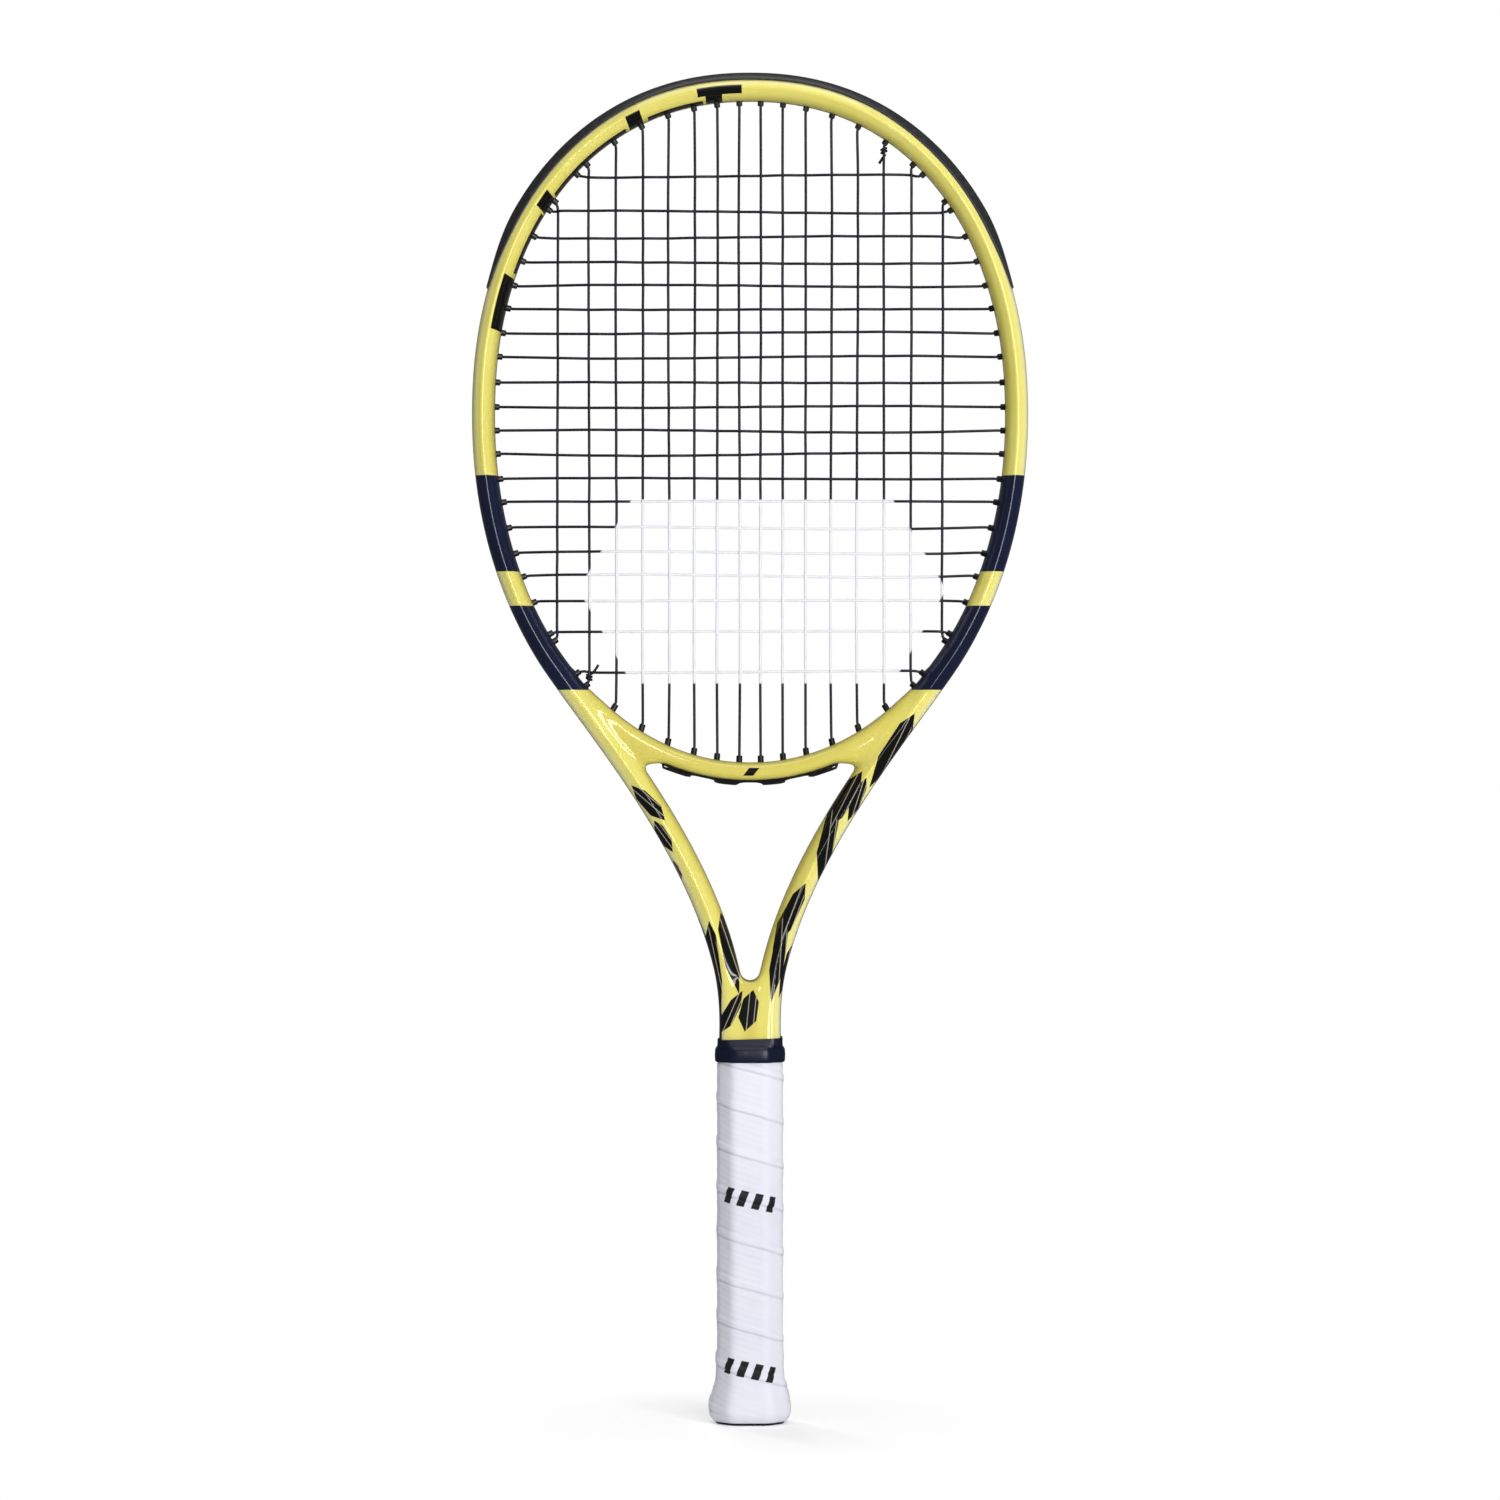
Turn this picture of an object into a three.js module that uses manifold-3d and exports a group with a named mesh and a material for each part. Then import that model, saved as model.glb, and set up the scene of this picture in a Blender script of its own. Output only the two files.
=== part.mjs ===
// A 26 inch tennis racket, strung, as separate pieces.
// Millimetres. Z runs up the racket from the butt to the tip, the strings lie in the XZ plane,
// and the front of the racket faces -Y. The origin is the centre of the butt cap's bottom face.
import * as THREE from 'three';
import { mergeVertices } from 'three/addons/utils/BufferGeometryUtils.js';
import Module from 'manifold-3d';

const wasm = await Module();
wasm.setup();

// ---- driving dimensions ------------------------------------------------------------------
const HEAD_Z = 493;                  // height of the widest line of the head
const HOOP = { a: 130.5, top: 159.5, bottom: 176, nTop: 2.18, nBottom: 2.05 };   // tube centreline
const BRIDGE = { a: 129, bottom: 174.6 };      // centreline of the throat bridge, same curve family
const ARM_START = 134 * Math.PI / 180;         // hoop angle, from the tip, where the arms leave it
const ARM_PULL = 50;                 // length of the arm curve's handle at the hoop
const ARM_FOOT = { turn: 260, straight: 190 }; // heights where the arm curve turns and is upright
const SHAFT_HALF = 7.5;              // half width of one leg of the hairpin in the visible shaft
const HANDLE = { half: 6.1, depth: 9.8 };      // half width and half depth of a leg in the handle
const LEG_GAP = 0.15;                // half of the gap between the two legs, filled by the web
const LEG_END_Z = 8;                 // lower end of the hairpin, inside the butt cap
const SHOULDER_Z = 184;              // the shaft has its full width from here up
const PALLET_TOP = 174;
const CROTCH = { z: 216, radius: 5 };          // round bottom of the throat opening
// The tube's half width and half depth: [from height, to height, new value].
const TUBE_HALF = [[PALLET_TOP, SHOULDER_Z, SHAFT_HALF], [SHOULDER_Z, 225, 6.1],
  [345, 400, 5.5], [560, 650, 5.3]];
const TUBE_DEPTH = [[PALLET_TOP, SHOULDER_Z, 11.5], [240, 420, 12.4], [520, 650, 11.6]];
const BRIDGE_TUBE = { half: 3.75, depth: 9.9, corner: 9.2 };   // corner: its fill towards the arms
const GROOVE = { depth: 3, floor: 2.4, mouth: 3.3, end: 300 };
const WALL = 1.3;                    // laminate thickness of the hollow tube
const GAP = 0.3;                     // clearance between pieces that are bonded or pressed
const STRIP = 0.8;                   // thickness of the grommet strips
const STUB = 2.3;                    // how far a barrel stands out inside the head
const STRING_R = 0.72;
const WEAVE = 0.8;                   // how far a string leaves the middle plane at a crossing
const LANE = 0.95;                   // two strings side by side in the groove
const KNOT_DROP = 3;                 // from a barrel's mouth to the knot tied beyond it
const BARREL = { outer: 1.7, bore: 1.34, hole: 2.8 };
const TIE_BARREL = { outer: 2.7, bore: 2.5, hole: 3.95 };      // depth of a barrel that holds two strings
const KNOT = { x: 1.9, y: 2.3, z: 1.6 };
const MAINS = [5.2, 16, 27.2, 39.8, 52.5, 65.6, 78.9, 94.3];
const CROSSES = [610.3, 593, 580.3, 568.2, 556.5, 545.4, 533.4, 521.9, 509.4, 497.4,
  485.9, 474.5, 462.3, 451, 438.5, 426.1, 414.8, 402.3, 387.1, 368];
const BUMPER_END_Z = 553;            // lower ends of the bumper guard
const FLANK_END_Z = 305;             // lower ends of the side grommet strips
const BRIDGE_STRIP_X = 45;           // half length of the strip under the bridge
const PALLET = { x: 14.2, y: 12.2 };
const BEVEL = 0.54;                  // size of a handle bevel as a part of the half depth
const SLEEVE_GAP = 0.2;              // clearance between the sleeves on the handle
const FLARE = { out: 3.6, widest: 7.5, end: 25, toe: 5.6 };    // swell of the handle at the butt
const CAP = { wall: 0.8, top: 34, heights: [0, 0.7, 2, 4.5, 7.5, 12, 16, 20, 25, 34] };
const TAPE = { thick: 1.25, start: 1.2, top: 179.5, straight: 2 };
const COLLAR = { bottom: 176.8, step: 184.2, top: 188.3, wall: 0.5, shaftGap: 0.35 };
const STAPLE = { width: 7.5, wire: 0.9, crown: 0.5, leg: 4 };

// ---- small helpers -----------------------------------------------------------------------
const mix = (a, b, t) => a + (b - a) * t;
const smooth = (from, to, x) => THREE.MathUtils.smoothstep(x, from, to);
const flat = (x, z) => new THREE.Vector2(x, z);

// Skin a list of rings. A closed list joins the last ring to the first; an open one gets two
// flat ends, which are triangulated on the ring's own two coordinates.
function loft(rings, endOutline) {
  const count = rings[0].length;
  const positions = rings.flat().flatMap((point) => [point.x, point.y, point.z]);
  const index = [];
  const spans = endOutline ? rings.length - 1 : rings.length;
  for (let i = 0; i < spans; i += 1) {
    const here = i * count;
    const next = ((i + 1) % rings.length) * count;
    for (let k = 0; k < count; k += 1) {
      const k1 = (k + 1) % count;
      index.push(here + k, here + k1, next + k1, here + k, next + k1, next + k);
    }
  }
  if (endOutline) {
    const last = (rings.length - 1) * count;
    for (const [a, b, c] of THREE.ShapeUtils.triangulateShape(endOutline, [])) {
      index.push(a, c, b, last + a, last + b, last + c);
    }
  }
  const geometry = new THREE.BufferGeometry();
  geometry.setAttribute('position', new THREE.Float32BufferAttribute(positions, 3));
  geometry.setIndex(index);
  return faceOutwards(geometry);
}

function faceOutwards(geometry) {
  const { array } = geometry.getAttribute('position');
  const corners = geometry.index.array;
  const [a, b, c] = [new THREE.Vector3(), new THREE.Vector3(), new THREE.Vector3()];
  let volume = 0;
  for (let i = 0; i < corners.length; i += 3) {
    a.fromArray(array, corners[i] * 3);
    b.fromArray(array, corners[i + 1] * 3);
    c.fromArray(array, corners[i + 2] * 3);
    volume += a.dot(b.cross(c));
  }
  if (volume < 0) {
    for (let i = 0; i < corners.length; i += 3) {
      [corners[i], corners[i + 1]] = [corners[i + 1], corners[i]];
    }
  }
  return geometry;
}

function solid(source) {
  const geometry = source.clone();
  geometry.deleteAttribute('normal');
  geometry.deleteAttribute('uv');
  const merged = mergeVertices(geometry, 1e-4);
  return new wasm.Manifold(new wasm.Mesh({
    numProp: 3,
    vertProperties: new Float32Array(merged.getAttribute('position').array),
    triVerts: new Uint32Array(merged.index.array),
  }));
}

function geometryOf(manifold) {
  const mesh = manifold.getMesh();
  const geometry = new THREE.BufferGeometry();
  geometry.setAttribute('position', new THREE.BufferAttribute(mesh.vertProperties, 3));
  geometry.setIndex(new THREE.BufferAttribute(mesh.triVerts, 1));
  return geometry;
}

const joined = (solids) => solids.reduce((sum, next) => sum.add(next));

// A mirrored outline: the half with v > 0 is given, from the outer side to the inner side.
function mirrored(half) {
  const other = half.map((point) => flat(point.x, -point.y)).reverse();
  return [...half, ...other];
}

// ---- rails: a rail is a chain of stations in the XZ plane --------------------------------
// Each station has its place, the mitred outward direction, and the tube's size there.
function superellipse(a, b, n, angle) {
  const x = a * Math.abs(Math.sin(angle)) ** (2 / n);
  const z = HEAD_Z + Math.sign(Math.cos(angle)) * b * Math.abs(Math.cos(angle)) ** (2 / n);
  return flat(x, z);
}

function hoopPoint(angle) {
  return angle < Math.PI / 2
    ? superellipse(HOOP.a, HOOP.top, HOOP.nTop, angle)
    : superellipse(HOOP.a, HOOP.bottom, HOOP.nBottom, angle);
}

function addMitres(rail) {
  rail.forEach((station, i) => {
    const before = rail[Math.max(i - 1, 0)].at;
    const after = rail[Math.min(i + 1, rail.length - 1)].at;
    const sides = [[before, station.at], [station.at, after]]
      .filter(([from, to]) => from !== to)
      .map(([from, to]) => flat(to.y - from.y, from.x - to.x).normalize());
    const sum = sides.reduce((total, side) => total.add(side), flat(0, 0)).normalize();
    station.out = sum.divideScalar(sum.dot(sides[0]));
  });
  return rail;
}

// Half width in the string plane, half depth along Y, and the depth of the string groove.
const profile = (start, steps, z) => steps
  .reduce((value, [from, to, next]) => mix(value, next, smooth(from, to, z)), start);

function tubeSize(z) {
  return {
    half: profile(HANDLE.half, TUBE_HALF, z),
    depth: profile(HANDLE.depth, TUBE_DEPTH, z),
    groove: z > GROOVE.end ? GROOVE.depth : 0,
  };
}

// The hairpin: right leg, right arm, over the hoop, and down on the left.
function hairpinRail(footZ) {
  const foot = [footZ, PALLET_TOP, SHOULDER_Z]
    .map((z) => flat(tubeSize(z).half + LEG_GAP, z));
  const start = hoopPoint(ARM_START);
  const pull = start.clone().sub(hoopPoint(ARM_START - 0.001)).setLength(ARM_PULL);
  const legX = SHAFT_HALF + LEG_GAP;
  const arm = new THREE.CubicBezierCurve(flat(legX, ARM_FOOT.straight), flat(legX, ARM_FOOT.turn),
    start.clone().add(pull), start).getPoints(10);
  const hoopSteps = 20;
  const hoop = [];
  for (let i = 1; i <= hoopSteps; i += 1) {
    hoop.push(hoopPoint(ARM_START * (1 - i / hoopSteps)));
  }
  const right = [...foot, ...arm, ...hoop];
  const left = right.slice(0, -1).reverse().map((point) => flat(-point.x, point.y));
  return addMitres([...right, ...left].map((at) => ({ at, ...tubeSize(at.y) })));
}

// The bridge closes the bottom of the head. It is drawn from left to right, so out is down.
// Near its ends it grows downwards to fill the corner between the hoop and the arm.
function bridgeRail() {
  const reach = 43 * Math.PI / 180;
  const steps = 26;
  const rail = [];
  for (let i = 0; i <= steps; i += 1) {
    const turn = reach * (i / steps * 2 - 1);
    const at = superellipse(BRIDGE.a, BRIDGE.bottom, HOOP.nBottom, Math.PI - Math.abs(turn));
    const corner = smooth(37, 50, at.x) * (1 - smooth(60, 76, at.x));
    const { half } = BRIDGE_TUBE;
    at.x *= Math.sign(turn);
    rail.push({ at, half, under: mix(half, BRIDGE_TUBE.corner, corner) });
  }
  return addMitres(rail);
}

const pointAt = (station, u, v) => new THREE.Vector3(
  station.at.x + station.out.x * u, v, station.at.y + station.out.y * u,
);

function sweep(rail, outlineAt) {
  const outlines = rail.map(outlineAt);
  const rings = rail.map((station, i) => outlines[i].map((p) => pointAt(station, p.x, p.y)));
  return loft(rings, outlines[0]);
}

// Where a ray in the string plane meets the line that runs beside a rail at an offset.
function meet(rail, offsetAt, origin, direction) {
  let best = null;
  for (let i = 0; i < rail.length - 1; i += 1) {
    const a = rail[i].at.clone().addScaledVector(rail[i].out, offsetAt(rail[i]));
    const b = rail[i + 1].at.clone().addScaledVector(rail[i + 1].out, offsetAt(rail[i + 1]));
    const along = b.clone().sub(a);
    const det = direction.x * along.y - direction.y * along.x;
    const to = a.clone().sub(origin);
    const distance = (to.x * along.y - to.y * along.x) / det;
    const part = (to.x * direction.y - to.y * direction.x) / det;
    if (distance > 0 && part >= 0 && part <= 1 && (!best || distance < best.distance)) {
      const out = rail[i].out.clone().lerp(rail[i + 1].out, part).normalize();
      best = { distance, place: i + part, out, at: a.addScaledVector(along, part) };
    }
  }
  return best;
}

// Points beside a rail between two places on it, at every station that lies between them.
function beside(rail, offsetAt, from, to, y) {
  const step = Math.sign(to - from);
  const points = [];
  let i = step > 0 ? Math.ceil(from + 0.15) : Math.floor(from - 0.15);
  while ((to - i) * step > 0.15) {
    points.push(pointAt(rail[i], offsetAt(rail[i]), y));
    i += step;
  }
  return points;
}

const tubeRail = hairpinRail(LEG_END_Z);
const crossRail = bridgeRail();
const headRail = tubeRail.filter((station) => station.at.y > 340);

// ---- string holes ------------------------------------------------------------------------
// A hole runs from its mouth inside the head to the channel outside, along the tube's normal,
// or part of the way towards the string's own direction where the holes fan out.
const inGroove = (station) => station.half - STRING_R - 0.18;
const underBridge = (station) => station.under + GAP + STRIP + GAP + STRING_R;

function hole(mouthRail, exitRail, exitOffset, origin, direction, fan, tie = false) {
  const mouth = meet(mouthRail, (station) => -(station.half + STUB), origin, direction);
  const axis = mouth.out.clone().lerp(direction, fan).normalize();
  const exit = meet(exitRail, exitOffset, mouth.at, axis);
  return { mouth: mouth.at, axis, exit: exit.at, place: exit.place, exitRail, exitOffset, tie };
}

const UP = flat(0, 1);
const DOWN = flat(0, -1);
// The string's two ends are tied to the right main TIED_TOP and the left main TIED_BOTTOM.
const TIED_TOP = 5;
const TIED_BOTTOM = 6;
const FLANK_FAN = { 4: 0.5, 5: 0.25 };      // the two flank mains nearest to the throat opening

function mainHoles(sign, k) {
  const x = sign * MAINS[k];
  const onBridge = MAINS[k] < BRIDGE_STRIP_X;
  const top = hole(headRail, tubeRail, inGroove, flat(x, HEAD_Z), UP, 0, sign > 0 && k === TIED_TOP);
  const mouthRail = k < 7 ? crossRail : headRail;
  const bottom = onBridge
    ? hole(crossRail, crossRail, underBridge, flat(x, HEAD_Z), DOWN, 0.5)
    : hole(mouthRail, tubeRail, inGroove, flat(x, HEAD_Z), DOWN, FLANK_FAN[k] ?? 0,
      sign < 0 && k === TIED_BOTTOM);
  return { x, top, bottom };
}

function crossHoles(z) {
  const at = (sign) => hole(headRail, tubeRail, inGroove, flat(0, z), flat(sign, 0), 0);
  return { z, right: at(1), left: at(-1) };
}

const mains = { right: MAINS.map((x, k) => mainHoles(1, k)), left: MAINS.map((x, k) => mainHoles(-1, k)) };
const crosses = CROSSES.map(crossHoles);
const sideMains = [...mains.right, ...mains.left];
const topHoles = [...sideMains.map((main) => main.top),
  ...crosses.filter((row) => row.z > BUMPER_END_Z).flatMap((row) => [row.right, row.left])];
const bridgeHoles = sideMains
  .filter((main) => Math.abs(main.x) < BRIDGE_STRIP_X)
  .map((main) => main.bottom);
const flankHoles = (name) => [
  ...crosses.filter((row) => row.z < BUMPER_END_Z).map((row) => row[name]),
  ...mains[name].slice(4).map((main) => main.bottom),
];
const flank = { right: flankHoles('right'), left: flankHoles('left') };
const tubeHoles = [...topHoles, ...flank.right, ...flank.left];

// A prism along a hole: six or four sided, deeper along Y where it holds two strings.
function prism(item, before, after, radius, depth, sides) {
  const start = item.mouth.clone().addScaledVector(item.axis, -before);
  const end = item.exit.clone().addScaledVector(item.axis, after);
  const across = flat(item.axis.y, -item.axis.x);
  const turn = sides === 4 ? Math.PI / 4 : 0;
  const outline = [];
  for (let k = 0; k < sides; k += 1) {
    const angle = turn + k / sides * Math.PI * 2;
    outline.push(flat(Math.cos(angle) * radius, Math.sin(angle) * depth));
  }
  const rings = [start, end].map((at) => outline.map((p) => new THREE.Vector3(
    at.x + across.x * p.x, p.y, at.y + across.y * p.x,
  )));
  return solid(loft(rings, outline));
}

function barrelPart(item, part, sides) {
  const cuts = sides === 4;          // a cut runs out past both ends of the barrel
  const depth = item.tie ? TIE_BARREL[part] : BARREL[part];
  return prism(item, cuts ? 1 : 0, cuts ? 3 : 1, BARREL[part], depth, sides);
}

const barrelOf = (item) => barrelPart(item, 'outer', 6);
const boreOf = (item) => barrelPart(item, 'bore', 4);
const cutOf = (item) => barrelPart(item, 'hole', 4);

// ---- frame -------------------------------------------------------------------------------
const tubeOutline = (grow) => ({ half, depth, groove }) => {
  const w = half + grow;
  const d = depth + grow;
  return mirrored([
    flat(w - groove, GROOVE.floor),
    flat(w, GROOVE.mouth),
    flat(0.87 * w, 0.62 * d),
    flat(0.42 * w, 0.93 * d),
    flat(-0.25 * w, 0.98 * d),
    flat(-0.77 * w, 0.7 * d),
    flat(-w, 0.29 * d),
  ]);
};

const boreOutline = ({ half, depth, groove }) => {
  const inner = -(half - WALL);
  const outer = half - WALL - (groove > 0 ? groove - 0.1 : 0);
  const d = depth - WALL - 0.3;
  const centre = (inner + outer) / 2;
  return mirrored([
    flat(outer, 0.6 * d),
    flat(centre, 0.88 * d),
    flat(inner, 0.6 * d),
  ]);
};

// The web joins the two legs and ends in the round bottom of the throat opening.
function shaftWeb() {
  const half = CROTCH.radius;
  const outline = new THREE.Shape();
  outline.moveTo(-half, LEG_END_Z);
  outline.lineTo(half, LEG_END_Z);
  outline.lineTo(half, CROTCH.z + half);
  outline.absarc(0, CROTCH.z + half, half, 0, Math.PI, true);
  const depth = HANDLE.depth - 1;
  const options = { depth: depth * 2, bevelEnabled: false, curveSegments: 5 };
  const web = new THREE.ExtrudeGeometry(outline, options);
  web.rotateX(Math.PI / 2);
  web.translate(0, depth, 0);
  return solid(web);
}

function frameTube() {
  const outside = solid(sweep(tubeRail, tubeOutline(0))).add(shaftWeb());
  const inside = solid(sweep(hairpinRail(LEG_END_Z - 2), boreOutline));
  return outside.subtract(inside).subtract(joined(tubeHoles.map(cutOf)));
}

function throatBridge() {
  const { depth } = BRIDGE_TUBE;
  const outline = ({ half, under }) => mirrored([
    flat(under, 0.6 * depth), flat(under - 2.4, depth), flat(2 - half, depth), flat(-half, 0.5 * depth),
  ]);
  const nearBridge = ({ at }) => at.y > 280 && at.y < 480;
  const arm = (sign) => tubeRail.filter((station) => nearBridge(station) && station.at.x * sign > 0);
  const arms = [1, -1].map((sign) => solid(sweep(arm(sign), tubeOutline(GAP))));
  const flankMains = [...flank.right, ...flank.left].filter((item) => item.mouth.y < 375);
  return solid(sweep(crossRail, outline))
    .subtract(joined(arms))
    .subtract(joined([...bridgeHoles, ...flankMains].map(cutOf)));
}

// ---- grommet strips and bumper guard -----------------------------------------------------
// Barrels are cut off inside their strip, so that they never stand up into the string channel.
function withBarrels(strip, rail, holes, middleOffset) {
  const envelope = sweep(rail, (station) => {
    const outer = middleOffset(station);
    return mirrored([flat(outer, 8), flat(outer - 45, 8)]);
  });
  const barrels = joined(holes.map(barrelOf)).intersect(solid(envelope));
  return solid(strip).add(barrels).subtract(joined(holes.map(boreOf)));
}

const stripOutline = ({ half }) => {
  const base = half - GROOVE.depth + GAP;
  return mirrored([flat(base + STRIP, 2), flat(base, 2)]);
};

function bumperOutline({ at, half, depth }) {
  const base = half - GROOVE.depth + GAP;
  const rise = mix(0.9, 2.9, smooth(BUMPER_END_Z, 625, at.y));
  const spread = mix(0.35, 1, smooth(BUMPER_END_Z - 4, BUMPER_END_Z + 45, at.y));
  const edge = mix(3.9, 0.62 * depth, spread);
  const edgeUnder = mix(half, 0.87 * half, spread) + GAP + 0.1;
  return mirrored([
    flat(base + STRIP, 1.75),
    flat(half + rise, 2.8),
    flat(half + rise, mix(3.7, 5.2, spread)),
    flat(edgeUnder + 0.8, edge + 0.3),
    flat(edgeUnder, edge),
    flat(half + GAP, 3.15),
    flat(half - 0.1, 2.9),
    flat(base, 2),
  ]);
}

const stripMiddle = ({ half }) => half - GROOVE.depth + GAP + STRIP / 2;

function bumperGuard() {
  const rail = tubeRail.filter((station) => station.at.y > BUMPER_END_Z);
  return withBarrels(sweep(rail, bumperOutline), rail, topHoles, stripMiddle);
}

function flankStrip(name, sign) {
  const onFlank = ({ at }) => at.x * sign > 0 && at.y > FLANK_END_Z && at.y < BUMPER_END_Z;
  const rail = tubeRail.filter(onFlank);
  return withBarrels(sweep(rail, stripOutline), rail, flank[name], stripMiddle);
}

function bridgeStrip() {
  const rail = crossRail.filter((station) => Math.abs(station.at.x) < BRIDGE_STRIP_X);
  const lip = 2;                     // the edges stand down on both sides of the string
  const outline = ({ under }) => mirrored([
    flat(under + GAP + STRIP, 2.2),
    flat(under + GAP + STRIP + lip, 2.6),
    flat(under + GAP + STRIP + lip, 3.6),
    flat(under + GAP, 4),
  ]);
  const middleOffset = ({ under }) => under + GAP + STRIP / 2;
  return withBarrels(sweep(rail, outline), rail, bridgeHoles, middleOffset);
}

// ---- the string --------------------------------------------------------------------------
// One length of string: the mains are woven from the middle outwards, then the crosses from
// the tip down. At a crossing the main and the cross pass each other in front and behind.
const front = (mainIndex, crossIndex) => ((mainIndex + crossIndex) % 2 === 0 ? -WEAVE : WEAVE);
const mainNumber = (name, k) => MAINS.length + (name === 'right' ? k : -1 - k);
const crossesMain = (main, row) => row.z < main.top.mouth.y - 2 && row.z > main.bottom.mouth.y + 2
  && Math.abs(main.x) < row.right.mouth.x - 2;

const spot = (point, y) => new THREE.Vector3(point.x, y, point.y);

// Under the bridge the string lies in the middle; in the groove it keeps to the front.
const laneOf = (item) => (item.exitRail === crossRail ? 0 : -LANE);

// The string in a hole, from the mouth to its corner in the channel outside.
function throughHole(item, laneY) {
  const inHole = Math.sign(laneY) * (item.tie ? 0.9 : 0.1);
  const bend = item.mouth.clone().addScaledVector(item.axis, -0.6);
  const lip = item.exit.clone().addScaledVector(item.axis, -1);
  return [spot(bend, item.tie ? inHole : 0), spot(lip, inHole), spot(item.exit, laneY)];
}

function channel(from, to, laneY) {
  return beside(from.exitRail, from.exitOffset, from.place, to.place, laneY);
}

// Leave the head through one hole and come back in through the next.
function turnBetween(from, to, laneY) {
  return [...throughHole(from, laneY), ...channel(from, to, laneY), ...throughHole(to, laneY).reverse()];
}

function alongMain(name, k, upwards) {
  const main = mains[name][k];
  const points = crosses
    .map((row, j) => ({ row, y: front(mainNumber(name, k), j) }))
    .filter(({ row }) => crossesMain(main, row))
    .map(({ row, y }) => new THREE.Vector3(main.x, y, row.z));
  return upwards ? points.reverse() : points;
}

function alongCross(j, leftwards) {
  const points = ['left', 'right']
    .flatMap((name) => MAINS.map((x, k) => ({ name, k })))
    .filter(({ name, k }) => crossesMain(mains[name][k], crosses[j]))
    .map(({ name, k }) => new THREE.Vector3(mains[name][k].x, -front(mainNumber(name, k), j), crosses[j].z))
    .sort((a, b) => a.x - b.x);
  return leftwards ? points.reverse() : points;
}

function stringPath() {
  const { right, left } = mains;
  const upperTie = right[TIED_TOP].top;
  const lowerTie = left[TIED_BOTTOM].bottom;
  const outermost = MAINS.length - 1;
  // upper tie-off, then the right mains from the outermost to the middle
  const path = [spot(upperTie.mouth.clone().add(flat(0, -KNOT_DROP)), LANE)];
  path.push(...turnBetween(upperTie, right[outermost].top, LANE));
  for (let k = outermost; k >= 0; k -= 1) {
    const down = k % 2 === 1;
    path.push(...alongMain('right', k, !down));
    const next = k > 0 ? right[k - 1] : left[0];
    path.push(...(down ? turnBetween(right[k].bottom, next.bottom, laneOf(right[k].bottom))
      : turnBetween(right[k].top, next.top, -LANE)));
  }
  for (let k = 0; k <= outermost; k += 1) {
    const down = k % 2 === 0;
    path.push(...alongMain('left', k, !down));
    if (k < outermost) {
      path.push(...(down ? turnBetween(left[k].bottom, left[k + 1].bottom, laneOf(left[k].bottom))
        : turnBetween(left[k].top, left[k + 1].top, -LANE)));
    }
  }
  // from the last main over to the first cross, and down the head
  path.push(...turnBetween(left[outermost].top, crosses[0].left, -LANE));
  for (let j = 0; j < crosses.length; j += 1) {
    const leftwards = j % 2 === 1;
    path.push(...alongCross(j, leftwards));
    if (j < crosses.length - 1) {
      const name = leftwards ? 'left' : 'right';
      const laneY = crosses[j].z > HEAD_Z ? -LANE : LANE;
      path.push(...turnBetween(crosses[j][name], crosses[j + 1][name], laneY));
    }
  }
  // lower tie-off
  path.push(...turnBetween(crosses.at(-1).left, lowerTie, LANE));
  path.push(spot(lowerTie.mouth.clone().add(flat(0, KNOT_DROP)), LANE));
  return path;
}

function stringSweep(path) {
  const corners = path.map((point, i) => {
    const before = path[Math.max(i - 1, 0)];
    const after = path[Math.min(i + 1, path.length - 1)];
    const sides = [[before, point], [point, after]]
      .filter(([from, to]) => from !== to)
      .map(([from, to]) => flat(to.z - from.z, from.x - to.x).normalize());
    const sum = sides.reduce((total, next) => total.add(next), flat(0, 0)).normalize();
    const out = sum.divideScalar(Math.max(sum.dot(sides[0]), 0.6)).multiplyScalar(STRING_R);
    return [[1, 0], [0, 1], [-1, 0], [0, -1]].map(([u, v]) => new THREE.Vector3(
      point.x + out.x * u, point.y + STRING_R * v, point.z + out.y * u,
    ));
  });
  const outline = [[1, 0], [0, 1], [-1, 0], [0, -1]].map(([u, v]) => flat(u, v));
  return loft(corners, outline);
}

function knot(item, towards) {
  const lump = new THREE.IcosahedronGeometry(1, 0);
  lump.scale(KNOT.x, KNOT.y, KNOT.z);
  lump.translate(item.mouth.x, 0.2, item.mouth.y + towards * KNOT_DROP);
  return solid(lump);
}

function stringSolid() {
  return solid(stringSweep(stringPath()))
    .add(knot(mains.right[TIED_TOP].top, -1))
    .add(knot(mains.left[TIED_BOTTOM].bottom, 1));
}

// ---- handle ------------------------------------------------------------------------------
// Everything on the handle is eight sided: two wide faces, two narrow sides and four bevels.
function octagon(x, y, z, bevel = BEVEL) {
  const cut = Math.min(x, y) * bevel;
  return [[x, y - cut], [x - cut, y], [cut - x, y], [-x, y - cut],
    [-x, cut - y], [cut - x, -y], [x - cut, -y], [x, cut - y]]
    .map(([px, py]) => new THREE.Vector3(px, py, z));
}

const outlineOf = (ring) => ring.map((point) => flat(point.x, point.y));

function handlePallet() {
  const outer = [LEG_END_Z - 1.5, PALLET_TOP].map((z) => octagon(PALLET.x, PALLET.y, z));
  const inner = [PALLET_TOP + 1, LEG_END_Z - 3]
    .map((z) => octagon(2 * HANDLE.half + LEG_GAP + GAP, HANDLE.depth + GAP, z, 0.3));
  return solid(loft(outer, outlineOf(outer[0]))).subtract(solid(loft(inner, outlineOf(inner[0]))));
}

// An octagon that stands out from the pallet's sides by a given amount.
const around = (out, z, bevel) => octagon(PALLET.x + out, PALLET.y + out, z, bevel);

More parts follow.
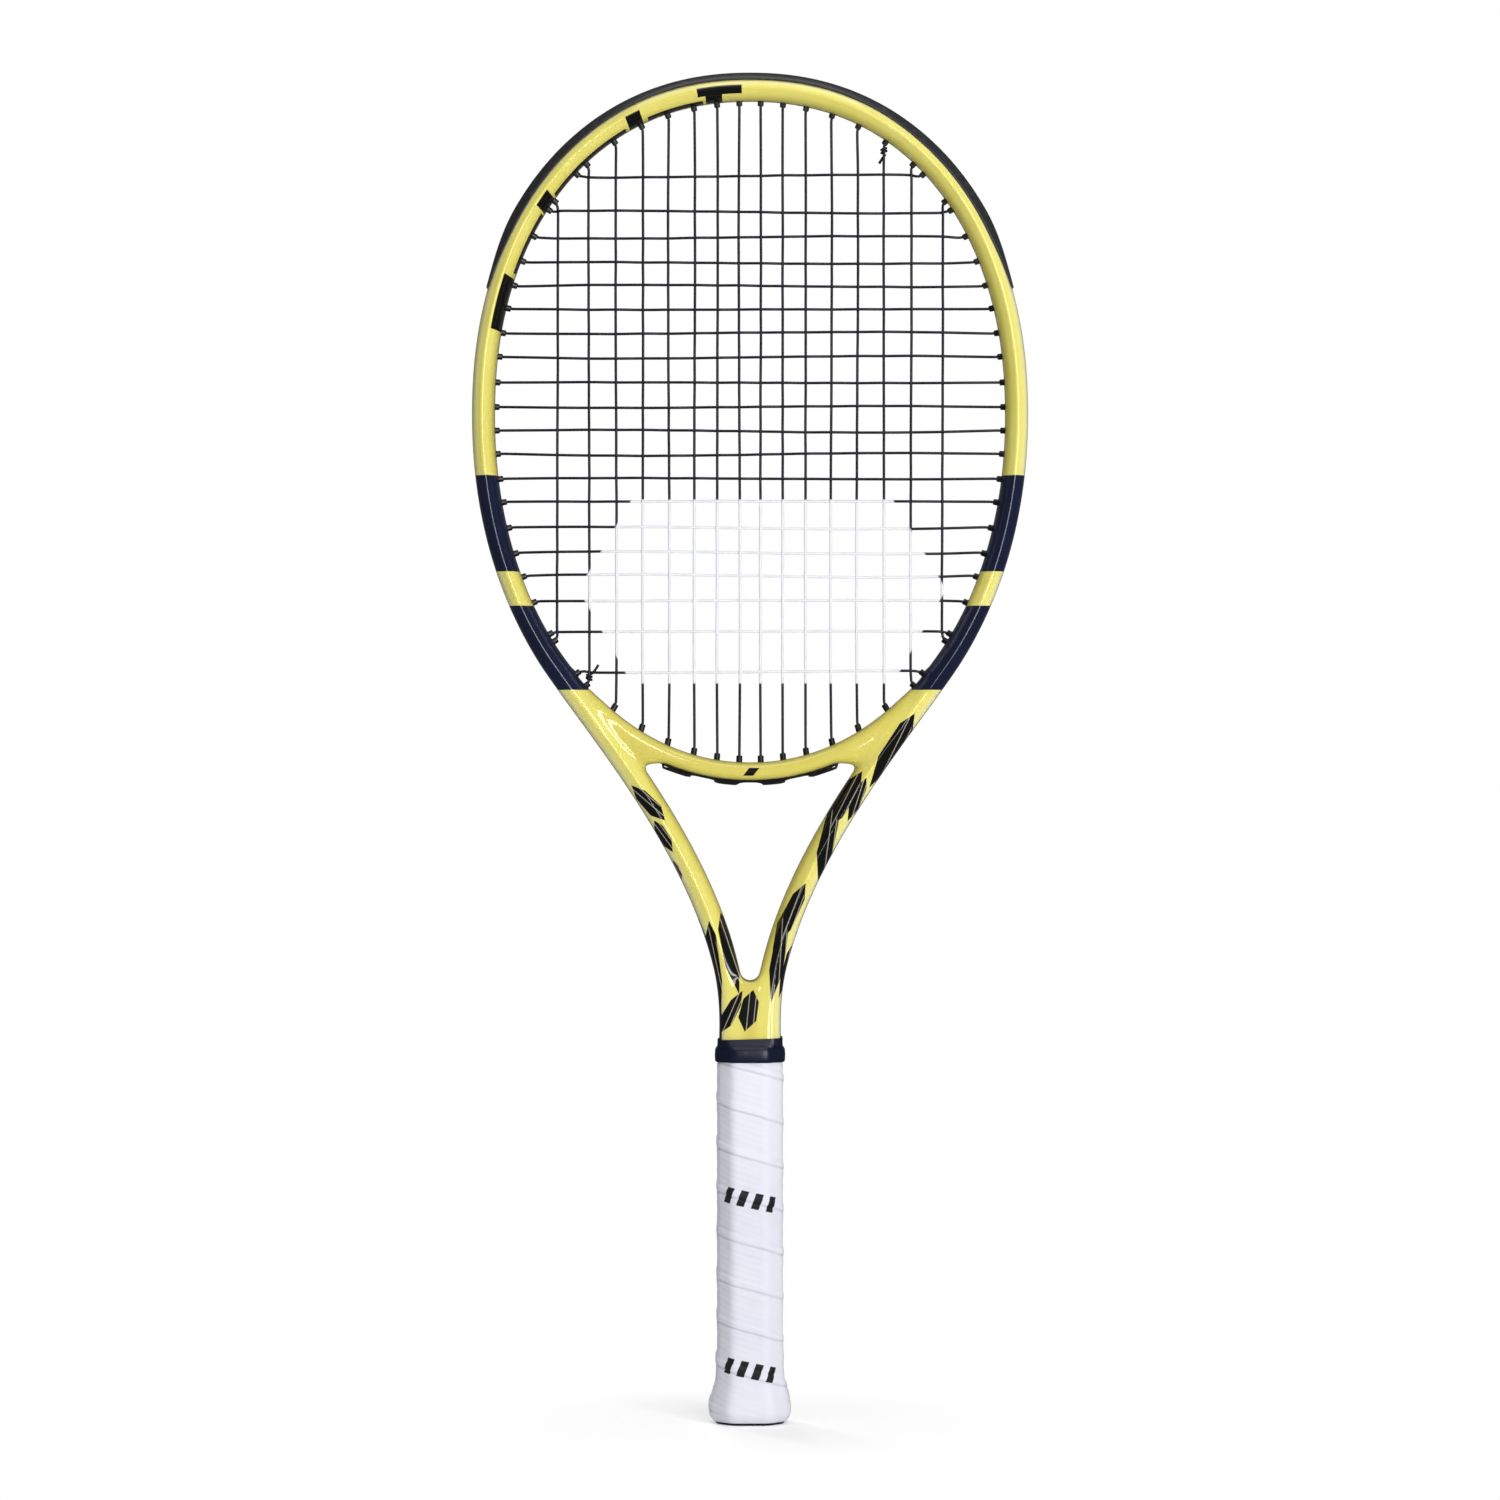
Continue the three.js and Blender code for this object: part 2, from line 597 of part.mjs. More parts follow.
// Outward swell of the handle near the butt, rounded in at the toe.
function flareAt(z) {
  if (z < FLARE.widest) {
    return FLARE.out - FLARE.toe * ((FLARE.widest - z) / FLARE.widest) ** 4;
  }
  const part = Math.min((z - FLARE.widest) / (FLARE.end - FLARE.widest), 1);
  return FLARE.out * 0.5 * (1 + Math.cos(Math.PI * part));
}

function buttCap() {
  const outer = CAP.heights.map((z) => around(SLEEVE_GAP + CAP.wall + flareAt(z), z));
  const inner = [CAP.top, LEG_END_Z - 2].map((z) => around(SLEEVE_GAP, z));
  return solid(loft([...outer, ...inner], outlineOf(outer[0])));
}

// One plain sleeve: over the butt cap, along the pallet, and thinned at its upper end.
function gripTape() {
  const overCap = SLEEVE_GAP + CAP.wall + SLEEVE_GAP;
  const low = [TAPE.start, ...CAP.heights.filter((z) => z > TAPE.start)];
  const thinned = COLLAR.bottom - 0.1;
  const high = [CAP.top + 2, thinned - 0.7, thinned, TAPE.top];
  const outer = [
    ...low.map((z) => around(overCap + TAPE.thick + flareAt(z), z)),
    ...high.map((z) => around(z < thinned ? TAPE.straight : TAPE.thick, z)),
  ];
  const inner = [
    ...low.map((z) => around(overCap + flareAt(z), z)),
    ...high.map((z) => around(SLEEVE_GAP, z)),
  ];
  return solid(loft([...outer, ...inner.reverse()]));
}

function finishingTape() {
  const [inner, outer] = [0.15, 0.5]
    .map((out) => [COLLAR.bottom + 0.2, COLLAR.step - 1.2].map((z) => around(TAPE.thick + out, z)));
  return solid(loft([...outer, ...inner.reverse()]));
}

// Wide over the end of the grip tape, then narrow and close around the shaft.
function gripCollar() {
  const { bottom, step, top, shaftGap } = COLLAR;
  const lip = shaftGap + COLLAR.wall;
  const shaft = { x: 2 * SHAFT_HALF + LEG_GAP, y: profile(HANDLE.depth, TUBE_DEPTH, top) };
  const onShaft = (out, z) => octagon(shaft.x + out, shaft.y + out, z, 0.4);
  return solid(loft([
    around(2, bottom), around(3, bottom), around(3.1, (bottom + step) / 2), around(2.7, step - 0.6),
    onShaft(lip, step + 0.6), onShaft(lip, top), onShaft(shaftGap, top), onShaft(shaftGap, step),
    around(2, step - 0.8),
  ]));
}

// A wire staple lying across the wide face: a crown and two legs driven towards +Y.
function stapleShape(grow) {
  const outer = STAPLE.width / 2 + grow;
  const wire = STAPLE.wire + 2 * grow;
  const inner = outer - wire;
  const crown = STAPLE.crown + grow;
  const tip = STAPLE.leg + grow;
  const outline = new THREE.Shape([
    flat(-outer, -grow), flat(outer, -grow), flat(outer, tip), flat(inner, tip),
    flat(inner, crown), flat(-inner, crown), flat(-inner, tip), flat(-outer, tip),
  ]);
  const staple = new THREE.ExtrudeGeometry(outline, { depth: wire, bevelEnabled: false });
  staple.translate(0, 0, -wire / 2);
  return staple;
}

// face 0 is the front, 1 the right side, 2 the back
function placedStaple({ x, z, face }, grow) {
  const outer = face === 1 ? PALLET.x : PALLET.y;
  const staple = stapleShape(grow);
  staple.translate(x, -(outer + SLEEVE_GAP + CAP.wall + flareAt(z + 1) - GAP), z);
  staple.rotateZ(face * Math.PI / 2);
  return solid(staple);
}

const STAPLES = {
  cap_staple_front_right: { x: 5, z: 17, face: 0 },
  cap_staple_front_left: { x: -5, z: 17, face: 0 },
  cap_staple_back_right: { x: 5, z: 17, face: 2 },
  cap_staple_back_left: { x: -5, z: 17, face: 2 },
  grip_staple: { x: 0, z: 11, face: 1 },
};
const stapleSlots = joined(Object.values(STAPLES).map((staple) => placedStaple(staple, GAP)));

// ---- materials and assembly --------------------------------------------------------------
function finish(color, roughness, metalness = 0) {
  return new THREE.MeshStandardMaterial({ color, roughness, metalness });
}

const yellowLacquer = finish('#e8dc4a', 0.28);
const blackNylon = finish('#17181c', 0.5);
const navyString = finish('#12141f', 0.42);
const whiteGrip = finish('#eceaf2', 0.7);
const foam = finish('#d9c79a', 0.85);
const blackCap = finish('#1d1e22', 0.45);
const steel = finish('#b9bcc2', 0.35, 0.9);
const rubber = finish('#14151b', 0.6);
const tape = finish('#2a2b30', 0.55);

const racket = new THREE.Group();
function add(name, manifold, material) {
  const mesh = new THREE.Mesh(geometryOf(manifold), material);
  mesh.name = name;
  racket.add(mesh);
}

add('frame_tube', frameTube(), yellowLacquer);
add('throat_bridge', throatBridge(), yellowLacquer);
add('bumper_guard', bumperGuard(), blackNylon);
add('side_grommet_strip_right', flankStrip('right', 1), blackNylon);
add('side_grommet_strip_left', flankStrip('left', -1), blackNylon);
add('bridge_grommet_strip', bridgeStrip(), blackNylon);
add('string', stringSolid(), navyString);
add('handle_pallet', handlePallet().subtract(stapleSlots), foam);
add('butt_cap', buttCap().subtract(stapleSlots), blackCap);
for (const [name, place] of Object.entries(STAPLES)) {
  add(name, placedStaple(place, 0), steel);
}
add('grip_tape', gripTape(), whiteGrip);
add('finishing_tape', finishingTape(), tape);
add('grip_collar', gripCollar(), rubber);

export default racket;
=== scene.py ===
"""Looks of a strung 26 inch tennis racket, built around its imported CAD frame.

Shapes are worked out in millimetres in the frame's own axes and turned into metres when a piece
is made. The strings lie in the XZ plane, +Z runs from the butt to the tip, the front faces -Y.
"""
import math
import random

import bpy
import numpy as np
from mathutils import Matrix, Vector
from mathutils.bvhtree import BVHTree
from mathutils.kdtree import KDTree


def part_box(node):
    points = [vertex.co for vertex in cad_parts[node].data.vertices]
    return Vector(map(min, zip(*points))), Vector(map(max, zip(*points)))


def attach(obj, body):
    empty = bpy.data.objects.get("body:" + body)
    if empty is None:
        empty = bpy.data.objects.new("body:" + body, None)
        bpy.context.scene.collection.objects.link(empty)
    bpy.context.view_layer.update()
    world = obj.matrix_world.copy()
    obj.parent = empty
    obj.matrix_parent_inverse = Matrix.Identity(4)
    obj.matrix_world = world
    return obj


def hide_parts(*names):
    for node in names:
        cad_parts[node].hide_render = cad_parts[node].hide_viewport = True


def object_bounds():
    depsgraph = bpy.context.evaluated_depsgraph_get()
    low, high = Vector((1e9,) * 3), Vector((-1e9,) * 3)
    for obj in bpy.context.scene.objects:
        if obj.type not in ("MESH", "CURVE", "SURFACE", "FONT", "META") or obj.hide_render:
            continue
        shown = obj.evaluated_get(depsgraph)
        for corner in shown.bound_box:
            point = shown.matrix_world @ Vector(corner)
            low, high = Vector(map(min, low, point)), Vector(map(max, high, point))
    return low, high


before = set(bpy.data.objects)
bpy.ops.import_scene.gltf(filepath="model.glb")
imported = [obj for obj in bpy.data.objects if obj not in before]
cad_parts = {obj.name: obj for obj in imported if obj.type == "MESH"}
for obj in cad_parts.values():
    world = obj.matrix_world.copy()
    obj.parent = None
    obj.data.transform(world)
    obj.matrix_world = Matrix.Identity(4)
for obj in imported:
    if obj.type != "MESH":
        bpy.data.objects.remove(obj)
CAD_BOX = [list(corner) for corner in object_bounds()]
MM = 0.001
DRAW = random.Random(26)

# ---- sizes, in millimetres ------------------------------------------------------------------
HEAD_Z = 493                         # height of the widest line of the head
HOOP = {"a": 130.5, "top": 159.5, "bottom": 176.0, "n_top": 2.18, "n_bottom": 2.05}
BRIDGE = {"a": 129.0, "bottom": 174.6, "half": 3.85, "inner": 4.9, "depth": 9.9, "corner": 8.6}
ARM_START = math.radians(134)        # where an arm leaves the hoop, as an angle from the tip
ARM_PULL = 50                        # how far an arm keeps the hoop's direction
ARM_FOOT = {"turn": 260, "straight": 190}           # heights of the arm's lower bend
SHAFT_HALF = 7.5                     # half the width of one leg of the shaft
LEG_GAP = 0.15                       # from a leg to the middle of the racket
SHOULDER_Z = 184
PALLET_TOP = 174
CROTCH = {"z": 216, "radius": 5.0}   # the round bottom of the throat opening
GROOVE = {"depth": 3.0, "floor": 2.4, "mouth": 3.3, "end": 300}     # for the string, outside
# the tube's half width and half depth: from height, to height, new value
TUBE_HALF = [(PALLET_TOP, SHOULDER_Z, SHAFT_HALF), (SHOULDER_Z, 225, 6.1), (345, 400, 5.5),
             (560, 650, 5.3)]
TUBE_DEPTH = [(PALLET_TOP, SHOULDER_Z, 11.5), (240, 420, 12.4), (520, 650, 11.6)]
STUB = 2.3                           # barrels stand this far out inside the head
BRIDGE_STUB = 4.3                    # and this far at the bottom of the head
BARREL = {"radius": 1.5, "root": 1.6}               # its root ends this far inside the exit
STRIP = 0.8                          # thickness of the grommet strips
GAP = 0.3                            # clearance on both sides of a strip
STRING_R = 0.66
WEAVE = 0.72                         # from the string plane to the middle of a crossing string
LANE = 0.95                          # two lengths of string lie side by side in the groove
BUMPER_END_Z = 553
FLANK_END_Z = 305                    # lower end of the side strips
BRIDGE_STRIP_X = 41                  # half the length of the strip under the bridge
BRIDGE_MAINS_X = 45                  # mains nearer the middle than this end in the bridge
RAIL_STEP = 1.2                      # from station to station along a rail
SKIN_VOXEL = 0.8
FILLET = 4.2                         # radius of the fillets between the bridge and the tube


# ---- small helpers --------------------------------------------------------------------------
def mix(a, b, t):
    return a + (b - a) * t


def smooth(low, high, x):
    t = np.clip((x - low) / (high - low), 0, 1)
    return t * t * (3 - 2 * t)


def profile(start, steps, z):
    value = start
    for low, high, after in steps:
        value = mix(value, after, smooth(low, high, z))
    return value


def unit(v):
    return v / np.maximum(np.linalg.norm(v, axis=-1, keepdims=True), 1e-9)


def resampled(points, spacing=None, count=None):
    """The same polyline with evenly spaced points."""
    steps = np.linalg.norm(np.diff(points, axis=0), axis=1)
    length = np.concatenate([[0], np.cumsum(steps)])
    if count is None:
        count = max(2, int(round(length[-1] / spacing)) + 1)
    even = np.linspace(0, length[-1], count)
    return np.stack([np.interp(even, length, points[:, k]) for k in range(points.shape[1])], axis=1)


def rounded(points, rounds):
    """Corner cutting that keeps both ends of an open polyline."""
    for _ in range(rounds):
        near = 0.75 * points[:-1] + 0.25 * points[1:]
        far = 0.25 * points[:-1] + 0.75 * points[1:]
        cut = np.stack([near, far], axis=1).reshape(-1, points.shape[1])
        cut[0] = points[0]
        cut[-1] = points[-1]
        points = cut
    return points


def node_points(node):
    """Vertices of a CAD node, in millimetres."""
    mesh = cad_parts[node].data
    co = np.zeros(len(mesh.vertices) * 3)
    mesh.vertices.foreach_get("co", co)
    return co.reshape(-1, 3) / MM


def box_mm(node):
    low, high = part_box(node)
    return np.array(low) / MM, np.array(high) / MM


def ring_at(flat, z):
    """A flat ring set at one height."""
    return np.column_stack([flat, np.full(len(flat), z)])


def loft_faces(rings, count, closed=False):
    """Quads between rings of `count` points each, with flat ends when the loft is open."""
    k = np.arange(count)
    after = (k + 1) % count
    faces = []
    for i in range(rings if closed else rings - 1):
        here = i * count
        ahead = ((i + 1) % rings) * count
        faces += np.stack([here + k, here + after, ahead + after, ahead + k], axis=1).tolist()
    if not closed:
        faces.append(list(range(count))[::-1])
        faces.append(list(range((rings - 1) * count, rings * count)))
    return faces


def volume_under(a, b, c):
    """Six times the signed volume between triangles and the origin."""
    return np.einsum("ij,ij->", a, np.cross(b - a, c - a))


def outward(points, faces):
    """The faces, turned round if they enclose a negative volume."""
    quads = points[np.array([face for face in faces if len(face) == 4])]
    a, b, c, d = quads.transpose(1, 0, 2)
    volume = volume_under(a, b, c) + volume_under(a, c, d)
    for face in faces:
        if len(face) > 4:
            fan = points[face]
            volume += volume_under(fan[:1].repeat(len(fan) - 2, 0), fan[1:-1], fan[2:])
    return faces if volume > 0 else [face[::-1] for face in faces]


def joined(parts):
    """One list of points and faces from several closed bodies."""
    points, faces, start = [], [], 0
    for part_points, part_faces in parts:
        points.append(part_points)
        faces += [[index + start for index in face] for face in part_faces]
        start += len(part_points)
    return np.concatenate(points), faces


def in_scene(name, data):
    """A new object with this mesh, light or camera."""
    item = bpy.data.objects.new(name, data)
    bpy.context.scene.collection.objects.link(item)
    return item


def make_piece(name, points, faces, material, slot, body="racket", stands_for=(), sharp=None):
    """A named piece that rides on a CAD body; points are in millimetres."""
    mesh = bpy.data.meshes.new(name)
    mesh.from_pydata((np.asarray(points) * MM).tolist(), [], faces)
    mesh.validate()
    mesh.materials.append(material)
    mesh.shade_smooth()
    if sharp is not None:
        mesh.set_sharp_from_angle(angle=math.radians(sharp))
    piece = in_scene(name, mesh)
    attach(piece, body)
    if stands_for:
        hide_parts(*stands_for)
    return piece


def point_value(piece, name, values):
    """Store one number per vertex for a material to read."""
    attribute = piece.data.attributes.new(name, "FLOAT", "POINT")
    attribute.data.foreach_set("value", np.asarray(values, np.float32))


# ---- rails ----------------------------------------------------------------------------------
class Rail:
    """A dense chain of stations in the XZ plane, each with its outward direction."""

    def __init__(self, points):
        self.at = points
        along = unit(np.gradient(points, axis=0))
        self.out = np.stack([along[:, 1], -along[:, 0]], axis=1)

    def part(self, keep):
        piece = Rail.__new__(Rail)
        piece.at = self.at[keep]
        piece.out = self.out[keep]
        return piece

    def beside(self, offset):
        return self.at + self.out * np.reshape(offset, (-1, 1))


def superellipse(angle, a, height, n):
    x = a * np.abs(np.sin(angle)) ** (2 / n)
    z = HEAD_Z + np.sign(np.cos(angle)) * height * np.abs(np.cos(angle)) ** (2 / n)
    return np.stack([x, z], axis=-1)


def hoop_point(angle):
    angle = np.asarray(angle, float)
    upper = superellipse(angle, HOOP["a"], HOOP["top"], HOOP["n_top"])
    lower = superellipse(angle, HOOP["a"], HOOP["bottom"], HOOP["n_bottom"])
    return np.where(angle[..., None] < math.pi / 2, upper, lower)


def tube_half(z):
    return profile(6.1, TUBE_HALF, z)


def tube_depth(z):
    return profile(9.8, TUBE_DEPTH, z)


def hairpin_rail(foot_z, spacing):
    """Right leg, right arm, over the hoop and down on the left."""
    foot_heights = np.linspace(foot_z, ARM_FOOT["straight"], 30)[:-1]
    foot = np.stack([tube_half(foot_heights) + LEG_GAP, foot_heights], axis=1)
    leg_x = SHAFT_HALF + LEG_GAP
    start = hoop_point(ARM_START)
    pull = unit(start - hoop_point(ARM_START - 0.001)) * ARM_PULL
    corners = [np.array([leg_x, ARM_FOOT["straight"]]), np.array([leg_x, ARM_FOOT["turn"]]),
               start + pull, start]
    t = np.linspace(0, 1, 90)[:, None]
    arm = ((1 - t) ** 3 * corners[0] + 3 * (1 - t) ** 2 * t * corners[1]
           + 3 * (1 - t) * t ** 2 * corners[2] + t ** 3 * corners[3])
    hoop = hoop_point(np.linspace(ARM_START, 0, 260)[1:])
    right = np.concatenate([foot, arm, hoop])
    left = right[:-1][::-1] * [-1, 1]
    return Rail(resampled(np.concatenate([right, left]), spacing=spacing))


def bridge_rail(spacing):
    """From left to right along the bottom of the head, so that out is down."""
    turn = np.linspace(-43, 43, 400) * math.pi / 180
    points = superellipse(math.pi - np.abs(turn), BRIDGE["a"], BRIDGE["bottom"], HOOP["n_bottom"])
    points[:, 0] *= np.sign(turn)
    return Rail(resampled(points, spacing=spacing))


def bridge_under(x):
    """Distance from the bridge's centreline to its lower side; it grows towards the arms."""
    corner = smooth(39, 50, abs(x)) * (1 - smooth(60, 76, abs(x)))
    return mix(BRIDGE["half"], BRIDGE["corner"], corner)


TUBE = hairpin_rail(9, RAIL_STEP)
CROSS = bridge_rail(RAIL_STEP)


def sweep(rail, outlines):
    """Rings of 3D points from (stations, points, 2) outlines of (out, depth)."""
    u = outlines[:, :, 0:1]
    flat = rail.at[:, None, :] + rail.out[:, None, :] * u
    return np.concatenate([flat[:, :, 0:1], outlines[:, :, 1:2], flat[:, :, 1:2]], axis=2)


def swept(rail, outlines):
    rings = sweep(rail, outlines)
    points = rings.reshape(-1, 3)
    return points, outward(points, loft_faces(len(rings), rings.shape[1]))


def mirrored(half):
    """A closed outline from its half with depth >= 0, given from the outer to the inner side."""
    return np.concatenate([half, (half * [1, -1])[::-1][1:-1]])


# ---- frame skin -----------------------------------------------------------------------------
def tube_outlines(rail):
    """The tube's section: a soft ridge, a shallow outer facet and a steeper inner one."""
    outlines = []
    tape_top = box_mm("finishing_tape")[1][2]
    for z in rail.at[:, 1]:
        w = tube_half(z)
        d = tube_depth(z)
        tuck = smooth(tape_top + 2.5, tape_top, z)  # slimmer corners under the finishing tape
        groove = GROOVE["depth"] * smooth(GROOVE["end"] - 3, GROOVE["end"] + 3, z)
        shaft = 1 - smooth(205, 245, z)            # the legs close up into one flat shaft
        corners = np.array([
            (w, GROOVE["mouth"]),
            (w, (mix(0.50, 0.60, shaft) - 0.06 * tuck) * d),
            (mix(0.80, 0.78, shaft) * w - tuck, mix(0.80, 0.88, shaft) * d - 1.2 * tuck),
            ((mix(0.06, 0.30, shaft) - 0.08 * tuck) * w, 1.035 * d),
            (mix(0.00, -0.2, shaft) * w, 1.03 * mix(1, 0.985, shaft) * d),
            (mix(-0.74, -0.8, shaft) * w, mix(0.72, 0.985, shaft) * d),
            (-w, mix(0.34, 0.97, shaft) * d),
            (-w, 0),
        ])
        half = resampled(rounded(corners, 3), count=26)
        grooved = np.array([(w - groove, 0.0), (w - groove, GROOVE["floor"])])
        outlines.append(mirrored(np.concatenate([grooved, half])))
    return np.array(outlines)


def bridge_outlines(rail):
    outlines = []
    end = rail.at[-1, 0]
    inner = BRIDGE["inner"]
    d = BRIDGE["depth"]
    for x in rail.at[:, 0]:
        hidden = smooth(end - 15, end, abs(x))     # the ends stay inside the tube
        under = bridge_under(x)
        corners = np.array([
            (under, 0), (under, 0.60 * d), (0.66 * under, 0.95 * d), (0.0, 1.04 * d),
            (-0.70 * inner, 0.90 * d), (-inner, 0.55 * d), (-inner, 0),
        ])
        half = resampled(rounded(corners, 3), count=24)
        outlines.append(mirrored(half) * mix(1.0, 0.82, hidden))
    return np.array(outlines)


def web():
    """Fills the shaft between the legs and ends in the round bottom of the throat opening."""
    turn = np.linspace(math.pi, 2 * math.pi, 16)
    radius = CROTCH["radius"]
    centre = CROTCH["z"] + radius
    arc = np.stack([radius * np.cos(turn), centre + radius * np.sin(turn)], axis=1)
    parts = []
    for foot, top, depth in ((9.0, PALLET_TOP, 8.8), (PALLET_TOP + 3, centre + 0.5, 11.85)):
        outline = np.array([(radius, top), (radius, foot), (-radius, foot), (-radius, top)])
        if top > PALLET_TOP:
            outline = np.concatenate([outline, arc])
        front = np.stack([outline[:, 0], np.full(len(outline), -depth), outline[:, 1]], axis=1)
        points = np.concatenate([front, front * [1, -1, 1]])
        parts.append((points, outward(points, loft_faces(2, len(outline)))))
    return joined(parts)


def remeshed(points, faces, voxel):
    """One closed skin round overlapping bodies; works in millimetres."""
    mesh = bpy.data.meshes.new("draft")
    mesh.from_pydata(points.tolist(), [], faces)
    draft = in_scene("draft", mesh)
    modifier = draft.modifiers.new("skin", "REMESH")
    modifier.mode = "VOXEL"
    modifier.voxel_size = voxel
    modifier.adaptivity = 0
    graph = bpy.context.evaluated_depsgraph_get()
    result = bpy.data.meshes.new_from_object(draft.evaluated_get(graph))
    skin_points = np.zeros(len(result.vertices) * 3)
    result.vertices.foreach_get("co", skin_points)
    skin_faces = [list(polygon.vertices) for polygon in result.polygons]
    bpy.data.objects.remove(draft)
    bpy.data.meshes.remove(mesh)
    bpy.data.meshes.remove(result)
    return skin_points.reshape(-1, 3), skin_faces


def nearest(tree, points):
    """Nearest place, its surface normal and the signed distance, for every point."""
    places = np.zeros((len(points), 3))
    normals = np.zeros((len(points), 3))
    for i, point in enumerate(points):
        place, normal, _, _ = tree.find_nearest(Vector(point))
        places[i] = place
        normals[i] = normal
    away = points - places
    distance = np.linalg.norm(away, axis=1)
    side = np.sign(np.einsum("ij,ij->i", away, normals))
    side[side == 0] = 1
    return places, normals, distance * side


def relax(points, faces, weights, rounds):
    """Move weighted vertices towards the mean of their neighbours."""
    edges = set()
    for face in faces:
        for j in range(len(face)):
            a, b = face[j], face[(j + 1) % len(face)]
            if weights[a] > 0 or weights[b] > 0:
                edges.add((min(a, b), max(a, b)))
    pairs = np.array(sorted(edges))
    degree = np.zeros(len(points))
    np.add.at(degree, pairs[:, 0], 1)
    np.add.at(degree, pairs[:, 1], 1)
    degree = np.maximum(degree, 1)
    for _ in range(rounds):
        total = np.zeros_like(points)
        np.add.at(total, pairs[:, 0], points[pairs[:, 1]])
        np.add.at(total, pairs[:, 1], points[pairs[:, 0]])
        points = points + (total / degree[:, None] - points) * weights[:, None] * 0.6
    return points


def filleted(points, trees, radius):
    """Pull points near the crease between two surfaces out onto a round fillet."""
    for _ in range(6):
        found = [nearest(tree, points) for tree in trees]
        (_, normal_a, a), (_, normal_b, b) = found
        opening = np.clip(1 - np.einsum("ij,ij->i", normal_a, normal_b), 0, 1)
        r = np.maximum(radius * opening, 1e-3)
        near_a = np.maximum(r - a, 0)
        near_b = np.maximum(r - b, 0)
        size = np.hypot(near_a, near_b)
        value = np.maximum(r, np.minimum(a, b)) - size
        only = size < 1e-6
        slope = unit(normal_a * near_a[:, None] + normal_b * near_b[:, None])
        slope[only] = np.where((a < b)[:, None], normal_a, normal_b)[only]
        value[only] = np.minimum(a, b)[only]
        points = points - slope * np.clip(value, -1, 1)[:, None]
    return points


def frame_skin():
    tube = swept(TUBE, tube_outlines(TUBE))
    cross = swept(CROSS, bridge_outlines(CROSS))
    points, faces = joined([tube, cross, web()])
    points, faces = remeshed(points, faces, SKIN_VOXEL)
    tree_tube, tree_cross = [BVHTree.FromPolygons(part[0].tolist(), part[1]) for part in (tube, cross)]
    place_a, _, a = nearest(tree_tube, points)
    place_b, _, b = nearest(tree_cross, points)
    from_middle = np.abs(points[:, 0])
    z = points[:, 2]
    on_web = (from_middle < 9) & (z < 236) & (np.abs(a) > 0.25)
    snapped = np.where((np.abs(a) <= np.abs(b))[:, None], place_a, place_b)
    points = np.where(on_web[:, None], points, snapped)
    crease = (np.abs(a) < FILLET) & (np.abs(b) < FILLET) & (z > 290)
    points[crease] = filleted(points[crease], (tree_tube, tree_cross), FILLET)
    reach = np.where(crease, 0.5, 0.0)
    crotch = smooth(13, 8, from_middle) * smooth(200, 208, z) * smooth(238, 226, z)
    seam = smooth(12, 8, from_middle) * smooth(222, 213, z) * smooth(178, 182, z)
    points = relax(points, faces, np.maximum.reduce([reach, crotch, seam]), 18)
    return points, faces


def across_tube(points):
    """For each point: its share of the tube's half width, +1 on the outer side, -1 inside."""
    tree = KDTree(len(TUBE.at))
    for i, at in enumerate(TUBE.at):
        tree.insert((at[0], at[1], 0), i)
    tree.balance()
    index = np.array([tree.find((x, z, 0))[1] for x, _, z in points.tolist()])
    away = points[:, [0, 2]] - TUBE.at[index]
    return np.einsum("ij,ij->i", away, TUBE.out[index]) / tube_half(TUBE.at[index, 1])


# ---- string holes ---------------------------------------------------------------------------
def string_grid():
    """The x of the mains and the z of the crosses, read from the CAD string's crossings."""
    points = node_points("string")
    outermost = 0.8 + 0.72               # CAD weave and string radius
    crossing = points[np.abs(np.abs(points[:, 1]) - outermost) < 0.02]
    found = []
    for axis in (0, 2):
        values, counts = np.unique(np.round(crossing[:, axis], 1), return_counts=True)
        found.append([float(value) for value, count in zip(values, counts) if count >= 8])
    return found[0], found[1][::-1]


MAIN_X, CROSS_Z = string_grid()
HALF_COUNT = len(MAIN_X) // 2
RIGHT_X = MAIN_X[HALF_COUNT:]
TIED_TOP = 5                         # the mains whose holes also take an end of the string
TIED_BOTTOM = 6


def meet(rail, offset, origin, direction):
    """Where a ray meets the line beside a rail; returns the place, its index and outward side."""
    line = rail.beside(offset)
    start = line[:-1] - origin
    along = line[1:] - line[:-1]
    det = direction[0] * along[:, 1] - direction[1] * along[:, 0]
    det = np.where(np.abs(det) < 1e-9, 1e-9, det)
    distance = (start[:, 0] * along[:, 1] - start[:, 1] * along[:, 0]) / det
    part = (start[:, 0] * direction[1] - start[:, 1] * direction[0]) / det
    good = (distance > 0) & (part >= 0) & (part <= 1)
    i = int(np.argmin(np.where(good, distance, np.inf)))
    return origin + np.array(direction) * distance[i], i, rail.out[i]


HEAD = TUBE.part(TUBE.at[:, 1] > 340)


def hole(mouth_rail, exit_rail, exit_offset, origin, direction, fan, stub, tie=False):
    """One string hole: its mouth inside the head, its direction and its exit on the outside."""
    if mouth_rail is CROSS:
        inner = np.full(len(CROSS.at), BRIDGE["half"])
    else:
        inner = tube_half(mouth_rail.at[:, 1])
    mouth, _, out = meet(mouth_rail, -(inner + stub), np.array(origin, float), direction)
    axis = unit(mix(out, np.array(direction, float), fan))
    leave, index, _ = meet(exit_rail, exit_offset, mouth, axis)
    return {"mouth": mouth, "axis": axis, "exit": leave, "index": index,
            "rail": exit_rail, "offset": exit_offset, "tie": tie, "stub": stub,
            "run": np.array(direction, float)}


